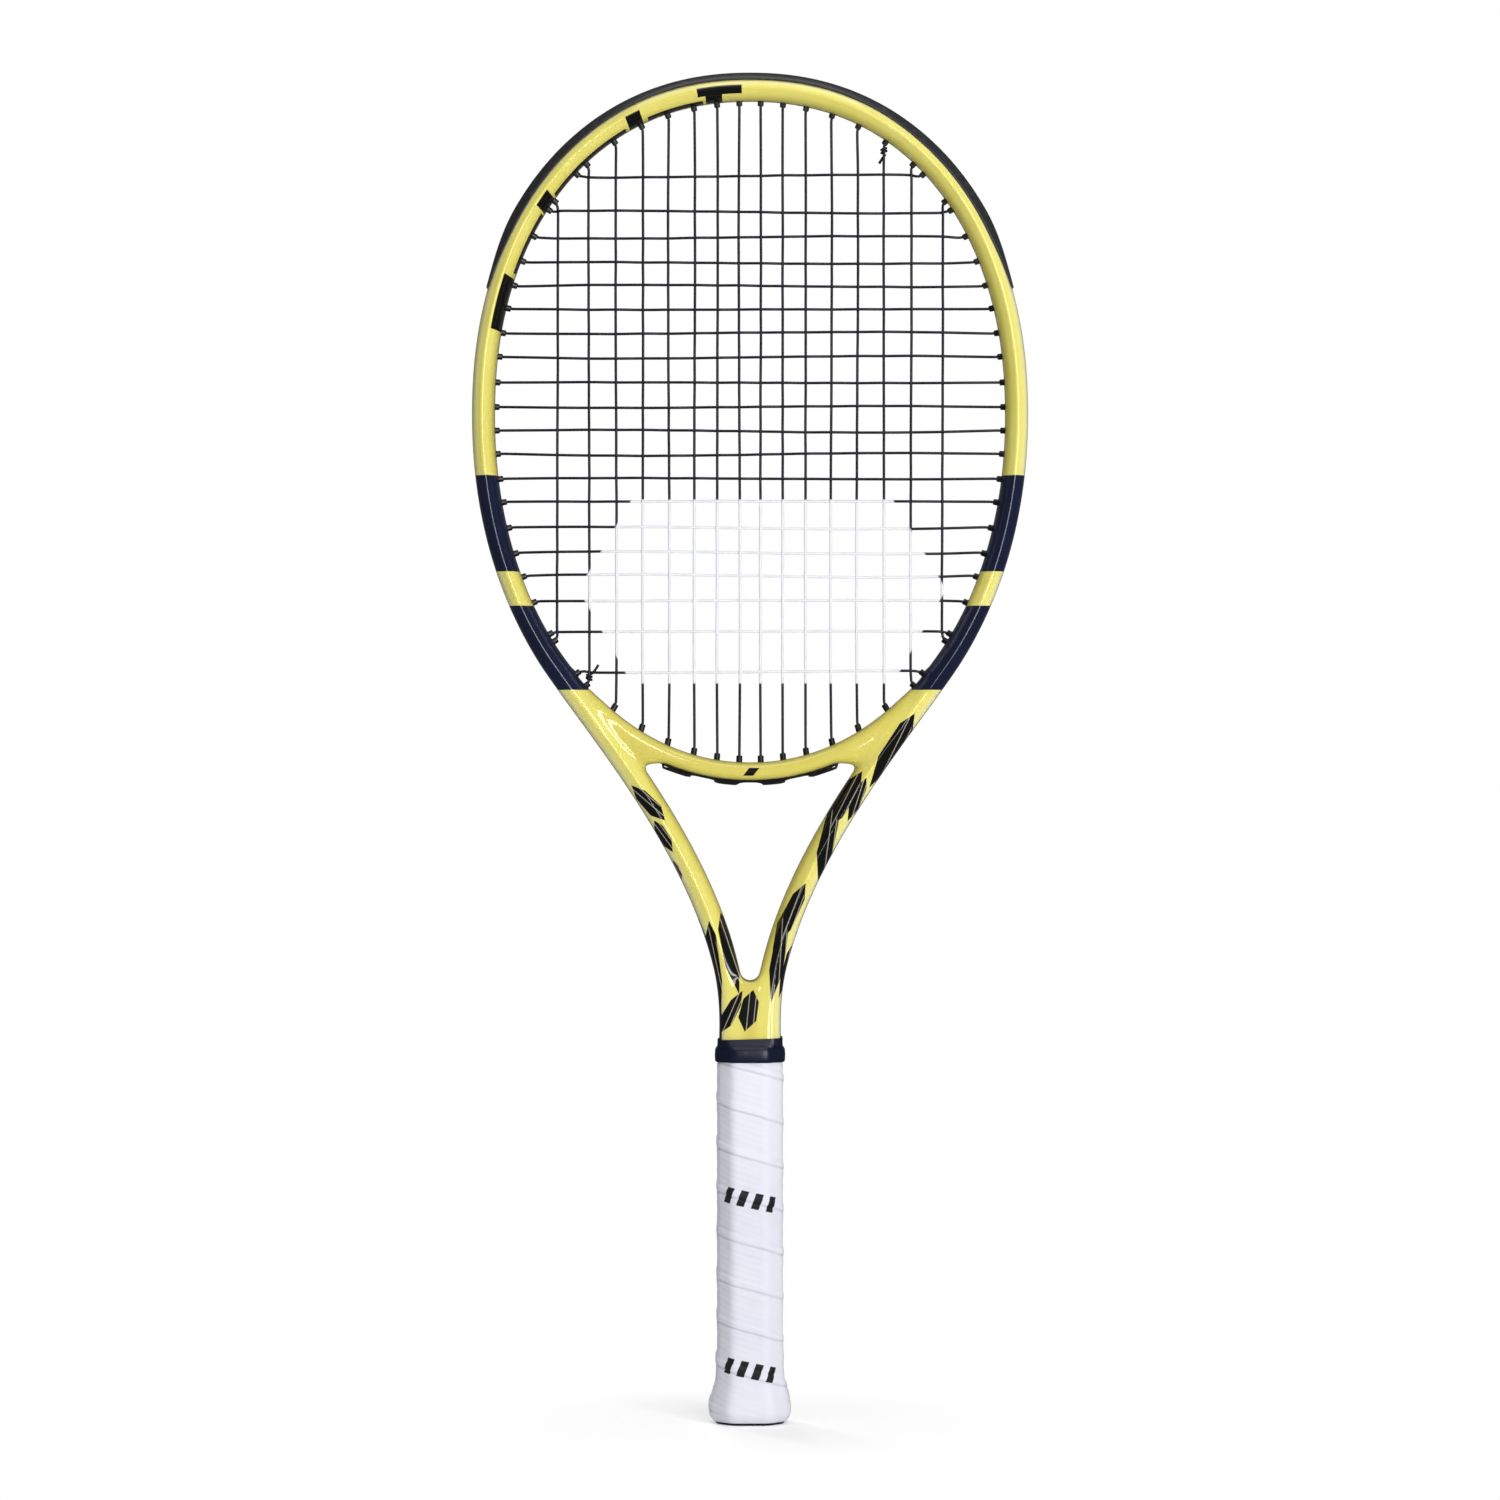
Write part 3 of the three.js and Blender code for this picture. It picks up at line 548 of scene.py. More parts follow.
# how far from a rail the string runs outside the head
IN_GROOVE = tube_half(TUBE.at[:, 1]) - 0.9
UNDER_BRIDGE = bridge_under(CROSS.at[:, 0]) + GAP + STRIP + GAP + STRING_R
FLANK_FAN = {4: 0.5, 5: 0.25}        # how far the holes of these mains turn to the string's direction


def main_holes(sign, k):
    x = sign * RIGHT_X[k]
    top = hole(HEAD, TUBE, IN_GROOVE, (x, HEAD_Z), (0, 1), 0, STUB, sign > 0 and k == TIED_TOP)
    if RIGHT_X[k] < BRIDGE_MAINS_X:
        bottom = hole(CROSS, CROSS, UNDER_BRIDGE, (x, HEAD_Z), (0, -1), 0.5, BRIDGE_STUB)
    else:
        mouth_rail = CROSS if k < 7 else HEAD
        stub = BRIDGE_STUB if k < 6 else STUB
        bottom = hole(mouth_rail, TUBE, IN_GROOVE, (x, HEAD_Z), (0, -1), FLANK_FAN.get(k, 0),
                      stub, sign < 0 and k == TIED_BOTTOM)
    return {"x": x, "top": top, "bottom": bottom}


def cross_holes(z):
    sides = {name: hole(HEAD, TUBE, IN_GROOVE, (0, z), (sign, 0), 0, STUB)
             for name, sign in (("right", 1), ("left", -1))}
    return {"z": z, **sides}


MAINS = {"right": [main_holes(1, k) for k in range(HALF_COUNT)],
         "left": [main_holes(-1, k) for k in range(HALF_COUNT)]}
ALL_MAINS = MAINS["left"][::-1] + MAINS["right"]     # from left to right
CROSSES = [cross_holes(z) for z in CROSS_Z]


# ---- the string -----------------------------------------------------------------------------
def spot(point, y):
    return [point[0], y, point[1]]


def through_hole(item, lane):
    in_hole = math.copysign(0.8 if item["tie"] else 0.1, lane if lane else -1)
    straight = item["mouth"] - item["run"] * 2.5
    bend = item["mouth"] + item["axis"] * 0.3
    lip = item["exit"] - item["axis"] * 1.0
    depth = in_hole if item["tie"] else 0
    return [spot(straight, depth), spot(bend, depth), spot(lip, in_hole), spot(item["exit"], lane)]


def channel(start, end, lane):
    """Along the groove between two exits, at every fourth station."""
    rail = start["rail"]
    line = rail.beside(start["offset"])
    step = 4 if end["index"] > start["index"] else -4
    places = range(start["index"] + step, end["index"] - step // 2, step)
    return [spot(line[i], lane) for i in places]


def turn_between(start, end, lane):
    return through_hole(start, lane) + channel(start, end, lane) + through_hole(end, lane)[::-1]


def lane_of(item):
    return 0.0 if item["rail"] is CROSS else -LANE


def front(main, cross):
    return -WEAVE if (main + cross) % 2 == 0 else WEAVE


def crosses_main(main, row):
    return (main["top"]["mouth"][1] - 2 > row["z"] > main["bottom"]["mouth"][1] + 2
            and abs(main["x"]) < row["right"]["mouth"][0] - 2)


# Strings are never quite straight: each main leans and each cross tilts or bows by its own small
# amount, and every crossing is a little off its place.
MAIN_LEAN = [DRAW.uniform(-0.4, 0.4) for _ in ALL_MAINS]
CROSS_TILT = [DRAW.uniform(-0.7, 0.7) for _ in CROSS_Z]
CROSS_BOW = [DRAW.uniform(-0.5, 0.5) for _ in CROSS_Z]


def crossing_shift(m, c, x, z):
    lean = MAIN_LEAN[m] * math.sin((z - HEAD_Z) / 60)
    share = x / HOOP["a"]
    tilt = CROSS_TILT[c] * math.sin(share * math.pi) + CROSS_BOW[c] * math.cos(share * math.pi / 2)
    return lean + DRAW.uniform(-0.1, 0.1), tilt + DRAW.uniform(-0.1, 0.1)


CROSSING_SHIFT = {(m, c): crossing_shift(m, c, MAIN_X[m], z)
                  for m in range(len(ALL_MAINS)) for c, z in enumerate(CROSS_Z)}


def crossing(m, c, side):
    """Where a main meets a cross, on the front of the main (side 1) or of the cross (side -1)."""
    across, along = CROSSING_SHIFT[m, c]
    return [ALL_MAINS[m]["x"] + across, side * front(m, c), CROSSES[c]["z"] + along]


def along_main(m, up):
    points = [crossing(m, c, 1) for c, row in enumerate(CROSSES) if crosses_main(ALL_MAINS[m], row)]
    return points[::-1] if up else points


def along_cross(c, leftwards):
    points = [crossing(m, c, -1) for m, main in enumerate(ALL_MAINS) if crosses_main(main, CROSSES[c])]
    return points[::-1] if leftwards else points


def tie_off(item, towards):
    """The end of the string: out of the shared hole, twice round the main, and a short tail."""
    x, z = item["mouth"]
    loops = []
    for i in range(27):
        turn = i / 12 * 2 * math.pi
        loops.append([x + 1.34 * math.sin(turn), 1.34 * math.cos(turn),
                      z + towards * (1.4 + 3.0 * i / 26)])
    tail_side = 1 if item["tie"] and towards > 0 else -1
    last = loops[-1]
    tail = [[last[0] + tail_side * 1.2, last[1] + 1.0, last[2] + towards * 1.2],
            [last[0] + tail_side * 2.6, last[1] + 1.2, last[2] + towards * 3.2],
            [last[0] + tail_side * 3.4, last[1] + 1.0, last[2] + towards * 4.6]]
    return (loops + tail)[::-1]


def string_path():
    """One length of string: all the mains from right to left, then the crosses downwards."""
    upper_tie = MAINS["right"][TIED_TOP]["top"]
    lower_tie = MAINS["left"][TIED_BOTTOM]["bottom"]
    path = tie_off(upper_tie, -1)
    path += turn_between(upper_tie, ALL_MAINS[-1]["top"], LANE)
    for m in reversed(range(len(ALL_MAINS))):
        main = ALL_MAINS[m]
        down = m % 2 == 1
        end = "bottom" if down else "top"
        lane = lane_of(main["bottom"]) if down else -LANE
        after = ALL_MAINS[m - 1][end] if m > 0 else CROSSES[0]["left"]
        path += along_main(m, not down)
        path += turn_between(main[end], after, lane)
    for c, row in enumerate(CROSSES):
        leftwards = c % 2 == 1
        path += along_cross(c, leftwards)
        if c < len(CROSSES) - 1:
            side = "left" if leftwards else "right"
            lane = -LANE if row["z"] > HEAD_Z else LANE
            path += turn_between(row[side], CROSSES[c + 1][side], lane)
    path += turn_between(CROSSES[-1]["left"], lower_tie, LANE)
    path += tie_off(lower_tie, 1)[::-1]
    return np.array(path)


def string_tube(path, spacing=1.7, sides=8):
    """A round tube along the path, closed at both ends."""
    line = resampled(rounded(path, 2), spacing=spacing)
    along = unit(np.gradient(line, axis=0))
    side = unit(np.cross(np.broadcast_to([0.0, 1.0, 0.0], along.shape), along))
    other = np.cross(along, side)
    turns = np.arange(sides) / sides * 2 * math.pi
    rings = (line[:, None, :]
             + side[:, None, :] * np.cos(turns)[None, :, None] * STRING_R
             + other[:, None, :] * np.sin(turns)[None, :, None] * STRING_R)
    points = rings.reshape(-1, 3)
    return points, outward(points, loft_faces(len(rings), sides))


# ---- grommet strips and bumper guard --------------------------------------------------------
def barrel(item):
    """A round barrel with a bore, from its strip to its mouth inside the head."""
    start = item["mouth"]
    end = item["exit"] - item["axis"] * BARREL["root"]
    length = float(np.dot(end - start, item["axis"]))
    deep = 1.0 if item["tie"] else 0.0
    rim = 0.28
    stretch = [(rim, 0.0), (0.0, 0.45), (0.0, item["stub"] - 0.35), (-0.25, item["stub"]),
               (-0.25, length)]
    outer = [(BARREL["radius"] - inset, place) for inset, place in stretch]
    bore = [(0.95, length), (0.82, 1.2), (0.98, 0.0)]
    sides = 16
    across = np.array([item["axis"][1], -item["axis"][0]])
    rings = []
    for radius, place in outer + bore:
        at = start + item["axis"] * place
        ring = []
        for k in range(sides):
            turn = k / sides * 2 * math.pi
            flat = at + across * radius * math.cos(turn)
            ring.append([flat[0], (radius + deep) * math.sin(turn), flat[1]])
        rings.append(ring)
    points = np.array(rings).reshape(-1, 3)
    return points, outward(points, loft_faces(len(rings), sides, closed=True))


def holes_of(side):
    above = [row for row in CROSSES if row["z"] > BUMPER_END_Z]
    below = [row for row in CROSSES if row["z"] <= BUMPER_END_Z]
    if side == "bumper":
        tops = [main["top"] for name in MAINS for main in MAINS[name]]
        return tops + [row[name] for row in above for name in ("right", "left")]
    if side == "bridge":
        return [main["bottom"] for name in MAINS for main in MAINS[name]
                if abs(main["x"]) < BRIDGE_MAINS_X]
    return [row[side] for row in below] + [main["bottom"] for main in MAINS[side][4:]]


def barrels(side):
    return [barrel(item) for item in holes_of(side)]


def strip_ring(base, thick, half):
    """A thin strip's section with slightly rounded edges."""
    corners = np.array([(base + thick, 0), (base + thick, half - 0.25), (base + thick - 0.25, half),
                        (base, half), (base, 0)])
    return mirrored(corners)


def flank_strip(side, sign):
    keep = ((TUBE.at[:, 0] * sign > 0) & (TUBE.at[:, 1] > FLANK_END_Z)
            & (TUBE.at[:, 1] < BUMPER_END_Z))
    rail = TUBE.part(keep)
    base = tube_half(rail.at[:, 1]) - GROOVE["depth"] + GAP
    outlines = np.array([strip_ring(b, STRIP, 2.0) for b in base])
    return joined([swept(rail, outlines)] + barrels(side))


def skin_depth(share):
    """Depth of the head tube's outer facets, as a share of its half depth."""
    return float(np.interp(share, [0.06, 0.80, 1.0], [1.035, 0.80, 0.50]))


def bumper_section(z):
    """A cap over the outer corner of the tube with a channel for the string."""
    half = tube_half(z)
    depth = tube_depth(z)
    base = half - GROOVE["depth"] + GAP
    rise = mix(0.9, 2.8, smooth(BUMPER_END_Z, 590, z))
    spread = mix(0.3, 1, smooth(BUMPER_END_Z - 4, BUMPER_END_Z + 30, z))
    shoulder = 1 - 0.6 * smooth(622, 652, z)
    cover = mix(0.97, mix(0.85, 0.60, shoulder), spread)    # where its edge lies on the tube
    edge = skin_depth(cover) * depth + 0.25
    edge_under = cover * half + 0.15
    crown = rounded(np.array([
        (base + STRIP, 1.5), (half + 0.5 * rise, 1.8), (half + rise, 2.5), (half + rise + 0.1, 3.6),
        (half + rise - 0.1, mix(4.2, 6.4, spread)), (edge_under + mix(0.6, 1.7, spread), edge - 0.5),
        (edge_under + 0.5, edge + 0.35), (edge_under, edge),
    ]), 2)
    inside = np.array([(half + 0.3, 3.2), (half - 0.1, 2.9), (base, 2.0), (base, 0)])
    start = np.array([(base + STRIP, 0)])
    return mirrored(np.concatenate([start, crown, inside]))


def bumper_guard():
    rail = TUBE.part(TUBE.at[:, 1] > BUMPER_END_Z)
    outlines = np.array([bumper_section(z) for z in rail.at[:, 1]])
    return joined([swept(rail, outlines)] + barrels("bumper"))


def bridge_strip():
    """Its two lips stand down in scallops where the string loops from hole to hole."""
    rail = CROSS.part(np.abs(CROSS.at[:, 0]) < BRIDGE_STRIP_X)
    inner = [abs(main["x"]) for main in MAINS["right"][:4]]
    middles = [(inner[0] + inner[1]) / 2, (inner[2] + inner[3]) / 2]
    outlines = []
    for x, z in rail.at:
        under = bridge_under(x)
        bump = max(math.exp(-((abs(x) - middle) / 6.0) ** 4) for middle in middles)
        ends = smooth(BRIDGE_STRIP_X, BRIDGE_STRIP_X - 6, abs(x))
        lip = mix(0.1, 1.25, bump) * ends
        base = under - 0.1
        corners = np.array([
            (base + 1.1, 0), (base + 1.1, 1.6), (base + 1.1 + 0.6 * lip, 1.9),
            (base + 1.15 + lip, 2.5), (base + 1.1 + 0.8 * lip, 3.7), (base + 0.5, 4.7), (base, 4.8),
            (base, 0),
        ])
        outlines.append(mirrored(corners))
    return joined([swept(rail, np.array(outlines))] + barrels("bridge"))


# ---- handle ---------------------------------------------------------------------------------
BEVEL = 0.54                         # corner cut of the octagon, as a share of its smaller half width


def octagon(x, y, count, bevel=BEVEL):
    """An eight sided ring with rounded corners; starts at the middle of the front face."""
    cut = min(x, y) * bevel
    corners = [(0, -y), (x - cut, -y), (x, cut - y), (x, y - cut), (x - cut, y), (0, y),
               (cut - x, y), (-x, y - cut), (-x, cut - y), (cut - x, -y), (0, -y)]
    dense = []
    for i, corner in enumerate(corners[1:-1], 1):
        here = np.array(corner, float)
        before = unit(np.array(corners[i - 1], float) - here)
        after = unit(np.array(corners[i + 1], float) - here)
        if abs(np.dot(before, after) + 1) < 1e-6:
            continue
        reach = 0.5 * cut
        dense += [here + before * reach, here + before * reach * 0.35 + after * reach * 0.03,
                  here + after * reach * 0.35 + before * reach * 0.03, here + after * reach]
    ring = np.array([corners[0]] + [tuple(point) for point in dense] + [corners[-1]])
    return resampled(rounded(ring, 2), count=count + 1)[:-1]


def outer_profile(node):
    """Half widths of a handle piece by height, from its CAD vertices."""
    points = node_points(node)
    rows = []
    for z in np.unique(np.round(points[:, 2], 2)):
        level = np.abs(points[np.abs(points[:, 2] - z) < 0.02])
        rows.append((z, level[:, 0].max(), level[:, 1].max()))
    return np.array(rows)


GRIP_PROFILE = outer_profile("grip_tape")
COLLAR_LOW, COLLAR_HIGH = box_mm("grip_collar")
PITCH = 21.3                         # of the helical wrap
SEAM_Z = 87.5                        # height of one seam at the middle of the front
WRAP_SLOPE = 0.28                    # how far a seam drops for each millimetre it runs to the right


def grip_half(z):
    """Smoothed half widths of the wrapped grip at height z."""
    heights = np.asarray(z, float)
    window = np.linspace(-1.6, 1.6, 9)
    sizes = [np.mean([np.interp(heights + w, GRIP_PROFILE[:, 0], GRIP_PROFILE[:, k]) for w in window],
                     axis=0) for k in (1, 2)]
    return sizes[0], sizes[1]


def seam_crease(phase):
    """1 in the sharp crease under the edge of each turn of the wrap, 0 away from it."""
    away = np.minimum(phase, 1 - phase) * PITCH
    return np.exp(-(away / 0.5) ** 2)


def seam_relief(phase):
    """Height of the wrap over one pitch, going down from a seam.

    A rounded lip under the crease, plain tape, then the band where two turns overlap.
    """
    lip = 0.22 * (1 - smooth(0.03, 0.30, phase))
    hidden_edge = -0.10 * np.exp(-((phase - 0.79) * PITCH / 0.7) ** 2)
    overlap = 0.42 * smooth(0.79, 0.87, phase)
    return lip + hidden_edge + overlap - 0.62 * seam_crease(phase)


def creases(s, z):
    """Soft pulls and wrinkles that run with the wrap."""
    t = z + WRAP_SLOPE * s
    return (0.05 * np.sin(t * 0.83 + 1.7 * np.sin(s * 0.11))
            + 0.04 * np.sin(t * 2.1 + 2.3 * np.sin(s * 0.07 + 1.2))
            + 0.03 * np.sin(s * 0.5 + t * 0.21))


def wrapped_ring(z, count):
    """One ring of the grip with the relief of the wrap, and what its material reads there."""
    x, y = grip_half(z)
    toe = 1 - (max(0.0, 5.0 - z) / 5.0) ** 3 * 0.05
    ring = octagon(x * toe, y * toe, count)
    steps = np.linalg.norm(np.diff(np.concatenate([ring, ring[:1]]), axis=0), axis=1)
    s = np.concatenate([[0], np.cumsum(steps)[:-1]])
    total = steps.sum()
    s = np.where(s > total / 2, s - total, s)
    slope = PITCH / total                       # closes the helix over one turn
    pull = 0.9 * np.sin(s / total * 2 * math.pi) + 0.3 * math.sin(z / 9)
    phase = np.mod((SEAM_Z - z - slope * s - pull) / PITCH, 1.0)
    fade = smooth(3.0, 9.0, z)
    relief = (seam_relief(phase) + creases(s, z)) * fade
    ring = ring + unit(ring) * (relief[:, None] - 0.1)
    # the crease value also places the painted shade in the grip's colour
    return ring_at(ring, z), {"around": s, "level": z + slope * s, "crease": seam_crease(phase) * fade}


def grip_sleeve():
    """The wrapped grip as a relief over a rounded octagon, turned in at its lower edge."""
    top = COLLAR_LOW[2] + 0.9
    heights = np.concatenate([np.linspace(1.7, 6, 10)[:-1], np.linspace(6, top, 500)])
    count = 168
    wrapped = [wrapped_ring(z, count) for z in heights]
    rings = [ring for ring, _ in wrapped]
    rows = [row for _, row in wrapped]
    toe_ring = rings[0][:, :2]
    inside = [(octagon(14.9, 12.9, count), top), (octagon(15.3, 13.3, count), 36.0),
              (octagon(16.5, 14.5, count), 5.0), (toe_ring * 0.90, 1.5), (toe_ring * 0.965, 1.25)]
    rings += [ring_at(flat, z) for flat, z in inside]
    points = np.concatenate(rings)
    rows += [{**rows[0], "level": rows[0]["level"] - 50}] * len(inside)
    values = {name: np.concatenate([row[name] for row in rows]) for name in rows[0]}
    return points, outward(points, loft_faces(len(rings), count, closed=True)), values


def butt_cap():
    """The moulded cap: a flared sleeve with a rounded foot, open underneath through a smaller hole."""
    top = box_mm("butt_cap")[1][2]
    outer = outer_profile("butt_cap")
    foot_top = 2.0
    foot_inset = 1.5
    bore_x, bore_y = 14.4, 12.4
    count = 112
    rows = [(np.interp(z, outer[:, 0], outer[:, 1]), np.interp(z, outer[:, 0], outer[:, 2]), z)
            for z in (top, 25, 20, 16, 12, 9, 7.5, 5, 3.2, foot_top)]
    x, y, _ = rows[-1]
    for turn in np.linspace(0, math.pi / 2, 7)[1:]:
        inset = foot_inset * (1 - math.cos(turn))
        rows.append((x - inset, y - inset, foot_top * (1 - math.sin(turn))))
    x, y, _ = rows[-1]
    rows += [(x - 3.0, y - 3.0, 0.0), (x - 3.5, y - 3.5, 0.7), (x * 0.45, y * 0.45, 0.9),
             (x * 0.45, y * 0.45, 2.2), (bore_x, bore_y, 6.2), (bore_x, bore_y, top)]
    points = np.concatenate([ring_at(octagon(x, y, count), z) for x, y, z in rows])
    return points, outward(points, loft_faces(len(rows), count, closed=True))


def shaft_ring(out, z, count):
    """A ring close round the shaft."""
    x = 2 * tube_half(z) + LEG_GAP + out
    y = 1.035 * tube_depth(z) + out
    return octagon(x, y, count, bevel=0.32)


def grip_collar():
    """Rubber ring: wide over the end of the grip, then a thin lip that hugs the shaft."""
    count = 120
    low, high = COLLAR_LOW[2], COLLAR_HIGH[2]
    step = low + 7.4
    wide_x, wide_y = 17.2, 15.2
    rows = [(wide_x - 0.75, wide_y - 0.75, low), (wide_x - 0.15, wide_y - 0.15, low + 0.5),
            (wide_x, wide_y, low + 1.4), (wide_x + 0.1, wide_y + 0.1, low + 3.6),
            (wide_x - 0.1, wide_y - 0.1, step - 1.3), (wide_x - 0.6, wide_y - 0.6, step - 0.4)]
    rings = [ring_at(octagon(x, y, count), z) for x, y, z in rows]
    wide = octagon(wide_x - 0.8, wide_y - 0.8, count)
    for blend, z in ((0.45, step + 0.05), (0.85, step + 0.5), (1.0, step + 1.2), (1.0, high - 0.5)):
        rings.append(ring_at(mix(wide, shaft_ring(0.9, high, count), blend), z))
    for out, z in ((0.75, high), (0.4, high - 0.05), (0.4, step + 1.0)):
        rings.append(ring_at(shaft_ring(out, high, count), z))
    for x, y, z in ((15.85, 13.85, step - 0.8), (wide_x - 1.1, wide_y - 1.1, low + 0.2)):
        rings.append(ring_at(octagon(x, y, count), z))
    points = np.concatenate(rings)
    tilt = smooth(step, high, points[:, 2]) * points[:, 0] / 15 * 0.45
    points[:, 2] += tilt
    return points, outward(points, loft_faces(len(rings), count, closed=True))


def finishing_tape():
    """Two turns of thin tape that hold down the end of the grip."""
    low, high = box_mm("finishing_tape")
    count = 120
    x, y = high[0], high[1]
    rings = []
    for z in np.linspace(low[2], high[2], 16):
        ring = octagon(x - 0.05, y - 0.05, count)
        s = np.arange(count) / count
        lap = smooth(0.0, 0.03, np.mod(s + (z - low[2]) / 9.0, 1.0))
        ring = ring + unit(ring) * (0.12 * lap + 0.04 * np.sin(s * 40 + z))[:, None]
        rings.append(ring_at(ring, z))
    rings += [ring_at(octagon(x - 0.38, y - 0.38, count), z) for z in (high[2], low[2])]
    points = np.concatenate(rings)
    return points, outward(points, loft_faces(len(rings), count, closed=True))


# ---- materials ------------------------------------------------------------------------------
def colour(red, green, blue):
    """A linear colour from display values 0-255."""
    def linear(value):
        value /= 255
        return value / 12.92 if value <= 0.04045 else ((value + 0.055) / 1.055) ** 2.4
    return (linear(red), linear(green), linear(blue), 1.0)


def square_to(run):
    """The unit vector at a right angle to a direction in the plane."""
    along = unit(run)
    return np.array([-along[1], along[0]])


class Shader:
    """Short forms for building a node material."""

    def __init__(self, name):
        self.material = bpy.data.materials.new(name)
        self.material.use_nodes = True
        self.nodes = self.material.node_tree.nodes
        self.links = self.material.node_tree.links
        self.surface = self.nodes["Principled BSDF"]
        place = self.nodes.new("ShaderNodeTexCoord")
        split = self.nodes.new("ShaderNodeSeparateXYZ")
        self.place = place.outputs["Object"]
        self.links.new(self.place, split.inputs[0])
        self.x, self.y, self.z = [self.times(split.outputs[k], 1 / MM) for k in range(3)]
        self.normal = place.outputs["Normal"]

    def plug(self, value, socket):
        if isinstance(value, bpy.types.NodeSocket):
            self.links.new(value, socket)
        else:
            socket.default_value = value

    def maths(self, operation, *values):
        node = self.nodes.new("ShaderNodeMath")
        node.operation = operation
        for value, socket in zip(values, node.inputs):
            self.plug(value, socket)
        return node.outputs[0]

    def times(self, a, b):
        return self.maths("MULTIPLY", a, b)

    def plus(self, a, b):
        return self.maths("ADD", a, b)

    def minus(self, a, b):
        return self.maths("SUBTRACT", a, b)

    def size(self, a):
        return self.maths("ABSOLUTE", a)

    def least(self, first, *others):
        for other in others:
            first = self.maths("MINIMUM", first, other)
        return first

    def ramp(self, value, low, high):
        """0 below low, 1 above high."""
        node = self.nodes.new("ShaderNodeMapRange")
        node.clamp = True
        self.plug(value, node.inputs["Value"])
        node.inputs["From Min"].default_value = low
        node.inputs["From Max"].default_value = high
        return node.outputs["Result"]

    def edge(self, distance):
        """A crisp paint edge where a distance in mm turns positive."""
        return self.ramp(distance, -0.12, 0.12)

    def blend(self, amount, first, second):
        node = self.nodes.new("ShaderNodeMix")
        node.data_type = "RGBA"
        self.plug(amount, node.inputs["Factor"])
        self.plug(first, node.inputs["A"])
        self.plug(second, node.inputs["B"])
        return node.outputs["Result"]

    def noise(self, scale, detail):
        node = self.nodes.new("ShaderNodeTexNoise")
        node.inputs["Scale"].default_value = scale
        node.inputs["Detail"].default_value = detail
        self.links.new(self.place, node.inputs["Vector"])
        return node.outputs["Fac"]

    def cells(self, scale):
        node = self.nodes.new("ShaderNodeTexVoronoi")
        node.inputs["Scale"].default_value = scale
        self.links.new(self.place, node.inputs["Vector"])
        return node.outputs["Distance"]

    def attribute(self, name):
        node = self.nodes.new("ShaderNodeAttribute")
        node.attribute_name = name
        return node.outputs["Fac"]

    def bump(self, height, strength, distance, normal=None):
        node = self.nodes.new("ShaderNodeBump")
        node.inputs["Strength"].default_value = strength
        node.inputs["Distance"].default_value = distance * MM
        self.plug(height, node.inputs["Height"])
        if normal is not None:
            self.plug(normal, node.inputs["Normal"])
        return node.outputs["Normal"]

    def beyond(self, start, normal, x):
        """Distance in mm past a straight line through `start`, on the side of its normal."""
        part = self.maths("MULTIPLY_ADD", x, normal[0], -np.dot(normal, start))
        return self.maths("MULTIPLY_ADD", self.z, normal[1], part)

    def inside(self, corners, x):
        """Distance in mm from the edges of a convex outline, positive inside it."""
        centre = np.mean(corners, axis=0)
        sides = []
        for start, end in zip(corners, corners[1:] + corners[:1]):
            normal = square_to(np.subtract(end, start))
            towards = 1 if np.dot(normal, centre - start) > 0 else -1
            sides.append(self.beyond(start, normal * towards, x))
        return self.least(*sides)

    def line(self, start, along, x):
        """Distance in mm from the straight line through a point in one direction."""
        return self.size(self.beyond(start, square_to(along), x))

    def any_of(self, values):
        best = values[0]
        for value in values[1:]:
            best = self.maths("MAXIMUM", best, value)
        return best

    def set(self, **values):
        names = {"base": "Base Color", "rough": "Roughness", "metal": "Metallic", "coat": "Coat Weight",
                 "coat_rough": "Coat Roughness", "specular": "Specular IOR Level", "normal": "Normal",
                 "sheen": "Sheen Weight", "sheen_rough": "Sheen Roughness", "coat_normal": "Coat Normal",
                 "glow": "Emission Color", "glow_strength": "Emission Strength"}
        for key, value in values.items():
            self.plug(value, self.surface.inputs[names[key]])
        return self.material


# Black bands across both sides of the head, by height.
BANDS = [(463.5, 416.5), (399.8, 358.7)]

# Pointed slivers on the throat: tip, tip, greatest width and where along its length that is.
SLIVERS = [
    ((80.4, 347.2), (58.2, 311.0), 8.6, 0.34),
    ((54.8, 319.0), (35.0, 288.0), 8.2, 0.36),
    ((56.8, 316.0), (47.6, 294.5), 5.2, 0.40),
    ((41.8, 302.5), (33.2, 265.5), 7.6, 0.36),
    ((27.2, 264.5), (11.0, 232.0), 7.4, 0.38),
    ((17.2, 250.0), (10.2, 206.0), 6.8, 0.36),
    ((20.4, 234.0), (14.0, 208.0), 3.4, 0.30),
    ((-57.9, 312.2), (-41.4, 295.0), 7.0, 0.50),
    ((-46.8, 295.0), (-37.6, 279.4), 5.4, 0.42),
    ((-37.6, 275.5), (-33.4, 265.5), 3.0, 0.50),
    ((-14.4, 250.0), (-5.2, 210.0), 7.0, 0.34),
    ((-20.0, 246.0), (-14.2, 196.0), 6.0, 0.26),
    ((-3.6, 212.0), (-15.4, 190.6), 6.6, 0.50),
    ((1.6, 212.4), (-2.6, 192.0), 9.0, 0.46),
]

# Plain dark patches on the upper left of the head: angle from the tip in degrees, how far each
# reaches along the tube in mm, and its inner and outer edge as a share of the half width.
PATCHES = [(5.4, 11.0, -0.48, 0.30), (6.5, 4.2, -1.3, -0.4), (21.4, 3.9, -1.3, 0.05),
           (43.8, 4.6, -1.3, -0.12), (65.8, 14.0, -1.3, -0.12)]
INNER_EDGE = [(8.5, 19), (23.5, 41.5), (46, 59)]    # angles between which the inner edge is dark
